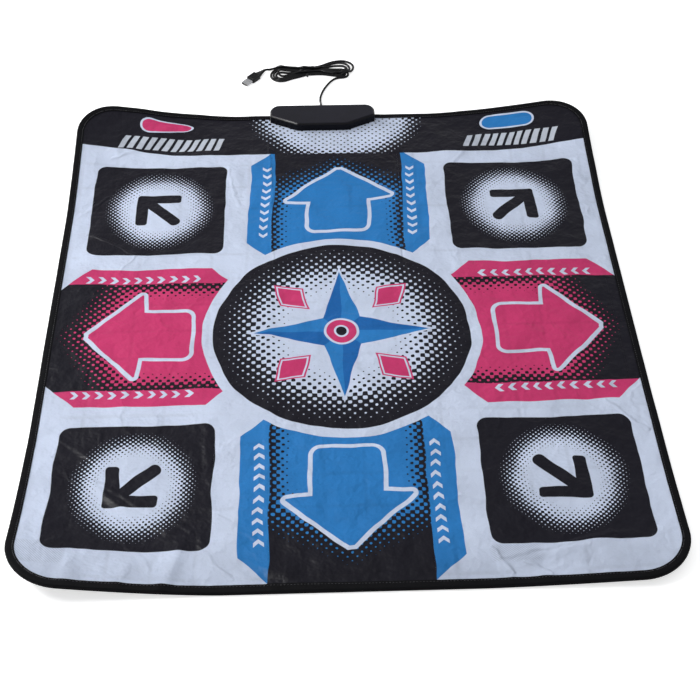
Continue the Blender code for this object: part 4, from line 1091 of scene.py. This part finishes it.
steel_look = surface("plated_steel", steel_finish, metallic=1.0)
for x, y, corner, _ in screw_places:
    screw("box_screw_" + corner, "housing_screw_" + corner, [
        (0.0024, 0.00015), (0.0026, 0.00030), (0.0014, 0.00135), (0.0014, 0.0135), (0.0008, 0.0145)],
        x, y, 0.0)
bar_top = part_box("clamp_bar")[1].z
for side, end_name in ((-1, "left"), (1, "right")):
    screw("bar_screw_" + end_name, "clamp_screw_" + end_name, [
        (0.0014, 0.0008), (0.0014, bar_top + 0.0003), (0.0026, bar_top + 0.0003),
        (0.0026, bar_top + 0.0016), (0.0020, bar_top + 0.0023)],
        BOX_X + side * 0.0365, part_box("clamp_screw_" + end_name)[0].y + 0.0026, bar_top + 0.0023)


# Inside the box: a green circuit board with its chip, crystal and wire header, and a
# nylon bar that presses the film's tail onto it through a rubber strip.
def board_finish(place):
    spot = place * MILLIMETRES
    lines = maths("PINGPONG", axes(spot)[0], 1.0)
    tracks = ramp(lines, 0.55, 0.7) * ramp(speckle(spot, 0.16, 1.0)[0], 0.48, 0.52)
    return paint(srgb(24, 92, 48), srgb(38, 122, 64), tracks), 0.35, None


nylon_look = moulded("white_nylon_grain", (226, 226, 220), 0.5, 900.0, 0.2)
rubber_look = moulded("soft_rubber", (10, 10, 13), 0.42, 1200.0, 0.3, 0.13)
for name, look in (("circuit_board", surface("solder_mask", board_finish, coat=0.3)),
                   ("controller_chip", moulded("chip_resin", (24, 24, 26), 0.5)),
                   ("crystal", steel_look), ("wire_header", nylon_look),
                   ("clamp_bar", nylon_look), ("pressure_strip", rubber_look)):
    dress(name, look)


# The grommet: a moulded rubber bush in the box's back wall, with a flange inside and a
# ribbed nose outside, which keeps the lead from bending sharply.
GROMMET_PROFILE = [
    (0.0022, 0.0065), (0.0026, 0.0064), (0.0028, 0.0060), (0.0028, 0.0052), (0.0024, 0.0050),
    (0.0024, 0.0044), (0.0030, 0.0042), (0.0031, 0.0034), (0.0026, 0.0032), (0.0026, 0.0026),
    (0.0034, 0.0024), (0.0036, 0.0016), (0.0042, 0.0014), (0.0044, 0.0009), (0.0044, 0.0003),
    (0.0032, 0.0003), (0.0032, -0.0023), (0.0044, -0.0023), (0.0044, -0.0045), (0.0022, -0.0045)]
backwards = Matrix.Rotation(-math.pi / 2, 4, "X")
grommet = turned_piece("lead_grommet", GROMMET_PROFILE + GROMMET_PROFILE[:1],
                       Matrix.Translation((LEAD_X, BOX_BACK_Y, LEAD_Z)) @ backwards, 40)
edit_all()
select_where(grommet, "FACE", lambda c, n: math.hypot(c.x - LEAD_X, c.z - LEAD_Z) < 0.0005)
bpy.ops.mesh.delete(type="FACE")
leave_edit()
clean_up(grommet)
finish_piece(grommet, rubber_look, "lead_rubber", "cable_grommet")


# The plug: a moulded body with finger ribs and a ringed neck, on a folded steel shell
# with two windows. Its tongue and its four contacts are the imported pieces.
PLUG_ANGLE = math.radians(50)
PLUG_TIP = Vector((-0.1475, 0.5595, 0.004))
SHELL_LENGTH = 0.0140
SHELL_WALL = 0.0004
BODY_SIDE_RADIUS = 0.0024
BODY_EDGE_RADIUS = 0.0008
FIRST_RIB = 0.0196
RIB_PITCH = 0.0023
NECK_RADIUS = 0.0038
NECK_RING_PITCH = 0.0028
BODY_START = 0.0143
BODY_END = 0.0343
NECK_LENGTH = 0.0182
plug_along = Vector((math.cos(PLUG_ANGLE), math.sin(PLUG_ANGLE), 0.0))
plug_across = Vector((-plug_along.y, plug_along.x, 0.0))
plug_frame = own_frame(PLUG_TIP, plug_along, plug_across, Vector((0.0, 0.0, 1.0)))

body = start_box("plug_shell_body", (BODY_START, -0.00775, -0.004), (BODY_END, 0.00775, 0.004))
bevel_where(body, lambda a, b: abs(a.z - b.z) > 0.004, BODY_SIDE_RADIUS, 5)
bevel_where(body, lambda a, b: abs(a.z - b.z) < 0.0001, BODY_EDGE_RADIUS, 3)
for side in (-1, 1):
    select_where(body, "FACE", lambda c, n: n.z * side > 0.99 and (
        abs(c.x - 0.0243) < 0.004 and abs(c.y) < 0.003))
    bpy.ops.mesh.inset(thickness=0.0022, depth=-0.0005)
leave_edit()
ribs = []
for side in (-1, 1):
    for i in range(5):
        x, z = FIRST_RIB + i * RIB_PITCH, side * 0.0036
        rib = start_box("rib", (x - 0.0004, -0.0046, z - 0.0003), (x + 0.0004, 0.0046, z + 0.0003))
        bevel_where(rib, lambda a, b: True, 0.0002, 2)
        leave_edit()
        ribs.append(rib)
neck_profile = [(NECK_RADIUS, 0.0)]
for i in range(6):
    start, big = 0.0012 + i * NECK_RING_PITCH, NECK_RADIUS - i * 0.00024
    neck_profile += [(big, start), (big - 0.0005, start + 0.0004), (big - 0.0005, start + 0.0011),
                     (big - 0.0001, start + 0.0015)]
neck_profile += [(0.0024, NECK_LENGTH), (0.0021, NECK_LENGTH + 0.0002)]
neck = turned_piece("neck", neck_profile, Matrix.Translation((BODY_END - 0.0003, 0.0, 0.0))
                    @ Matrix.Rotation(math.pi / 2, 4, "Y"), 32)
for vert in neck.data.vertices:
    vert.co.y *= 1.0 + 0.85 * min(1.0, max(0.0, 1.0 - (vert.co.x - BODY_END) / NECK_LENGTH)) ** 1.5
pick(*ribs, neck, body)
bpy.ops.object.join()
body.data.transform(plug_frame)
bpy.ops.object.shade_smooth_by_angle(angle=math.radians(35))
finish_piece(body, rubber_look, "lead_rubber", "plug_body")

shell = start_box("plug_steel_shell", (0.0, -0.006, -0.00225), (SHELL_LENGTH, 0.006, 0.00225))
bevel_where(shell, lambda a, b: abs(a.x - b.x) > 0.004, 0.0006, 4)
select_where(shell, "FACE", lambda c, n: abs(n.x) > 0.9)
bpy.ops.mesh.delete(type="FACE")
leave_edit()
modify(shell, "SOLIDIFY", thickness=SHELL_WALL, offset=-1.0)
for offset in (-0.0026, 0.0026):
    window = start_box("window", (0.0052, offset - 0.0011, -0.005), (0.0078, offset + 0.0011, 0.005))
    leave_edit()
    cut_away(shell, window)
shell.data.transform(plug_frame)
clean_up(shell)
finish_piece(shell, steel_look, "steel", "plug_shell")


def brass_finish(place):
    return paint(srgb(214, 176, 92), srgb(190, 146, 66), speckle(place, 900.0, 2.0)[0]), 0.28, None


dress("plug_tongue", nylon_look)
brass_look = surface("gilt_contact", brass_finish, metallic=1.0)
contacts = ["plug_contact_%d" % number for number in (1, 2, 3, 4)]
for name in contacts:
    dress(name, brass_look)


# The lead: a thin black rubber cord, about one and a half metres. It drops from the
# grommet to the floor, and is folded there into a flat bundle that a tie holds.
CORD_DIAMETER = 0.0038
CORD_RADIUS = CORD_DIAMETER / 2
CORD_STEP = 0.002
LEAST_BEND = 0.0093
CORD_STIFFNESS = 0.7
SINK = 0.00003
NEIGHBOUR_POINTS = 6
TIE_X = -0.040
TIE_Y = 0.5950
TIE_HALF = 0.0095
LEAD_POINTS = [(-0.0185, 0.4660, 0.0112), (-0.0185, 0.4800, 0.0112), (-0.0187, 0.4890, 0.0097),
               (-0.0191, 0.4990, 0.0057), (-0.0195, 0.5090, 0.0029), (-0.0192, 0.5200, 0.0020),
               (-0.0166, 0.5320, 0.0020), (-0.0125, 0.5440, 0.0020), (-0.0068, 0.5560, 0.0020),
               (0.0010, 0.5680, 0.0020)]
# the five turns at the right end: x and y in millimetres, and height in diameters
RIGHT_ENDS = (
    ((12, 577, 0.5), (21, 577.8, 0.5), (28.3, 583, 0.5), (30, 590.5, 0.5), (25, 598.4, 0.5),
     (13, 601.4, 0.5), (-6, 601.5, 0.5), (-24, 604.5, 0.5)),
    ((-24, 589.3, 0.5), (-7, 588.5, 0.5), (4, 584.5, 0.5), (12, 581.5, 0.5), (20, 583, 0.5),
     (24.5, 589.3, 0.5), (20.5, 595.6, 0.5), (12, 597.4, 0.5), (-6, 597.5, 0.5), (-24, 600.7, 0.5)),
    ((-24, 593.1, 0.5), (-6, 591.5, 0.5), (14, 586, 0.6), (26, 588.5, 1.6), (35, 595.5, 1.3),
     (39.2, 606.5, 0.6), (37, 616, 0.5), (28.5, 624, 0.5), (16, 626.6, 0.5), (-4, 620.5, 0.5),
     (-20, 608, 1.0)),
    ((-24, 595, 1.4), (-6, 590, 1.4), (14, 587, 1.5), (25.5, 590.5, 2.1), (31.8, 600, 1.7),
     (31, 609.5, 0.9), (25, 618, 0.5), (14, 621.5, 0.5), (-5, 615, 0.5), (-22, 604.5, 1.0)),
    ((-24, 596.9, 0.5), (-6, 595, 0.5), (12, 591.6, 0.5), (21.5, 592.5, 1.4), (28, 599, 1.4),
     (26, 606.5, 0.9), (17, 611.2, 0.5), (6, 611.8, 0.5), (-10, 607, 0.9), (-24, 601.5, 2.0)))
# at the tie: y and height of each turn's strands, back and front
WAIST_BACK = ((602.6, 0.5), (598.8, 0.5), (600.7, 1.4), (596.9, 1.4))
WAIST_FRONT = ((587.4, 0.5), (591.2, 0.5), (593.1, 1.4), (595.0, 0.5))
# at the left end three turns lie on the floor, and the third one on top of the fourth
LEFT_ENDS = (
    ((-62, 607, 0.5), (-82, 608.5, 0.5), (-95, 603, 0.5), (-102.5, 588, 0.5), (-98.5, 575.5, 0.5),
     (-84, 569.2, 0.5), (-62, 578.8, 0.5)),
    ((-62, 603, 0.5), (-81, 604.3, 0.5), (-92.5, 599.5, 0.5), (-98.6, 588, 0.5), (-95, 579, 0.5),
     (-83, 573.2, 0.5), (-62, 582.8, 0.5)),
    ((-62, 599.5, 0.6), (-72, 601, 1.3), (-83, 602.3, 1.5), (-91.4, 594.2, 1.5), (-84, 586.2, 1.6),
     (-73, 587.5, 1.6), (-62, 589, 1.5)),
    ((-62, 593, 0.5), (-72, 592, 0.5), (-80, 593, 0.5), (-86.5, 593.2, 0.5), (-92.4, 590.2, 0.5),
     (-94.4, 585.4, 0.5), (-92.2, 580.4, 0.5), (-86, 577.3, 0.5), (-79, 578.8, 0.5), (-71, 583, 0.5),
     (-62, 587.2, 0.5)))
TAIL_POINTS = [(-0.0400, 0.5988, 0.0086), (-0.0620, 0.6040, 0.0086), (-0.0820, 0.6075, 0.0070),
               (-0.0960, 0.6075, 0.0045), (-0.1040, 0.6050, 0.0038)]


def smooth_route(points, steps):
    """A smooth curve through the points."""
    points = [Vector(point) for point in points]
    route = []
    for i in range(len(points) - 1):
        p0, p1, p2 = points[max(i - 1, 0)], points[i], points[i + 1]
        p3 = points[min(i + 2, len(points) - 1)]
        for k in range(steps):
            t = k / steps
            route.append(0.5 * (2 * p1 + (p2 - p0) * t + (2 * p0 - 5 * p1 + 4 * p2 - p3) * t * t
                                + (3 * p1 - p0 - 3 * p2 + p3) * t ** 3))
    return np.array(route + [points[-1]])


def even_route(route, step):
    """The same line with points an even step apart."""
    way = np.concatenate([[0.0], np.cumsum(np.linalg.norm(np.diff(route, axis=0), axis=1))])
    places = np.linspace(0.0, way[-1], int(round(way[-1] / step)) + 1)
    return np.array([np.interp(places, way, route[:, i]) for i in range(3)]).T


def bundle_route():
    """The lead's route, turn by turn, before it has settled."""
    points = list(LEAD_POINTS)
    for number, right_end in enumerate(RIGHT_ENDS):
        turn = list(right_end)
        if number < len(LEFT_ENDS):
            turn += [(-40, *WAIST_BACK[number]), *LEFT_ENDS[number], (-40, *WAIST_FRONT[number])]
        points += [(x / 1000, y / 1000, height * CORD_DIAMETER) for x, y, height in turn]
    neck_tip = plug_frame @ Vector((BODY_END + NECK_LENGTH, 0.0, 0.0))
    return even_route(smooth_route(points + TAIL_POINTS + [neck_tip], 8), CORD_STEP)


def spread_pairs(route, between, change):
    """Moves that change the gap between points a number of steps apart."""
    gap = route[between:] - route[:-between]
    length = np.linalg.norm(gap, axis=1)
    push = change(length)[:, None] * gap
    move = np.zeros_like(route)
    move[between:] += push
    move[:-between] -= push
    return move


def settle(route, passes, head, tail):
    """Let the cord sink to the floor and slide off itself, held in by its tie. It keeps
    its length, and no bend gets tighter than its least radius."""
    free = np.ones((len(route), 1))
    free[:head] = 0.0
    free[-tail:] = 0.0
    step = np.linalg.norm(route[1] - route[0])
    for number in range(passes):
        if number % 4 == 0:
            apart = np.linalg.norm(route[:, None] - route[None], axis=2)
            first, second = np.where(apart < 1.5 * CORD_DIAMETER)
            keep = second - first > NEIGHBOUR_POINTS
            first, second = first[keep], second[keep]
        gap = route[first] - route[second]
        length = np.linalg.norm(gap, axis=1) + 1e-9
        overlap = np.clip(CORD_DIAMETER * 1.02 - length, 0.0, None)
        push = (overlap / length * 0.5)[:, None] * gap
        move = np.zeros_like(route)
        np.add.at(move, first, push)
        np.add.at(move, second, -push)
        touching = (overlap > 0.0).astype(float)
        count = np.bincount(first, touching, len(route)) + np.bincount(second, touching, len(route))
        move /= np.sqrt(np.maximum(count, 1.0))[:, None]
        move[:, 2] -= SINK
        held = np.abs(route[:, 0] - TIE_X) < 0.003
        off = route[:, 1] - TIE_Y
        move[:, 1] -= np.clip(np.abs(off) - TIE_HALF + CORD_RADIUS, 0.0, None) * np.sign(off) * held * 0.5
        route = route + move * free
        for k in (2, 3, 4):
            chord = 2 * LEAST_BEND * math.sin(k * step / LEAST_BEND)
            route = route + free * spread_pairs(
                route, 2 * k, lambda length: np.clip(chord - length, 0.0, None) / length * 0.25)
        stiff = np.zeros_like(route)
        stiff[2:-2] = (4 * route[1:-3] + 4 * route[3:-1] - route[:-4] - route[4:]) / 6 - route[2:-2]
        route = route + stiff * CORD_STIFFNESS * free
        for _ in range(6):
            route = route + free * spread_pairs(route, 1, lambda length: (step - length) / length * 0.3)
        route[head:-tail, 2] = np.maximum(route[head:-tail, 2], CORD_RADIUS + 0.0001)
    return even_route(route, CORD_STEP)


def tube(name, route, radius, rings):
    """A round tube along a line of points, as a curve."""
    curve = bpy.data.curves.new(name, "CURVE")
    curve.dimensions = "3D"
    curve.bevel_depth = radius
    curve.bevel_resolution = rings
    curve.use_fill_caps = True
    spline = curve.splines.new("POLY")
    spline.points.add(len(route) - 1)
    for point, place in zip(spline.points, route):
        point.co = (*place, 1.0)
    return new_object(name, curve)


cord_route = settle(bundle_route(), 200, 52, 3)
lead = tube("lead_cord", cord_route, CORD_RADIUS, 6)
finish_piece(lead, moulded("lead_sheath", (7, 7, 10), 0.26, 800.0, 0.15, 0.12), "lead_rubber",
             "cable_lead", "cable_hank", "cable_tail")


# The twist tie: a flat black strip with a wire in it, wound once round the bundle's
# waist, its two ends twisted together and bent down at the front.
STRIP_WIDTH = 0.0032
STRIP_THICKNESS = 0.0004
WIRE_HALF_WIDTH = 0.0006
WIRE_RISE = 0.025
STRAND_RADIUS = 0.0009
waist = cord_route[(np.abs(cord_route[:, 0] - TIE_X) < 0.004) & (cord_route[:, 1] > 0.57)]
tie_low = Vector((TIE_X, waist[:, 1].min() - CORD_RADIUS - 0.0004, 0.0001))
tie_high = Vector((TIE_X, waist[:, 1].max() + CORD_RADIUS + 0.0004, waist[:, 2].max() + CORD_RADIUS + 0.0007))
centre = (tie_low + tie_high) / 2
half = (tie_high - tie_low) / 2
tie = primitive("bundle_tie", bpy.ops.mesh.primitive_circle_add, vertices=48, radius=1.0,
                rotation=(0.0, math.pi / 2, 0.0))
bpy.ops.object.transform_apply(location=True, rotation=True, scale=True)
for vert in tie.data.vertices:
    c, s = vert.co.y, vert.co.z
    vert.co = (TIE_X - STRIP_WIDTH / 2, centre.y + half.y * math.copysign(abs(c) ** 0.6, c),
               centre.z + half.z * math.copysign(abs(s) ** 0.6, s))
edit_all()
for _ in range(6):
    bpy.ops.mesh.extrude_region_move(TRANSFORM_OT_translate={"value": (STRIP_WIDTH / 6, 0.0, 0.0)})
face_outwards()
for vert in tie.data.vertices:
    rise = 1.0 + WIRE_RISE * math.exp(-((vert.co.x - TIE_X) / WIRE_HALF_WIDTH) ** 2)
    vert.co.y = centre.y + (vert.co.y - centre.y) * rise
modify(tie, "SOLIDIFY", thickness=STRIP_THICKNESS, offset=-1.0)
tie_ends = []
for phase in (0.0, math.pi):
    turns = [(i / 40, phase + i / 40 * math.tau * 1.5) for i in range(41)]
    tie_ends.append(tube("tie_end", [
        (TIE_X + STRAND_RADIUS * math.cos(turn), tie_low.y + 0.0006 - 0.0062 * t,
         tie_high.z * 0.5 + STRAND_RADIUS * math.sin(turn) - 0.0020 * t * t)
        for t, turn in turns], STRAND_RADIUS, 2))
pick(*tie_ends)
bpy.ops.object.convert(target="MESH")
pick(*tie_ends, tie)
bpy.ops.object.join()
clean_up(tie)
finish_piece(tie, rubber_look, "lead_rubber", "twist_tie")

bpy.context.view_layer.update()
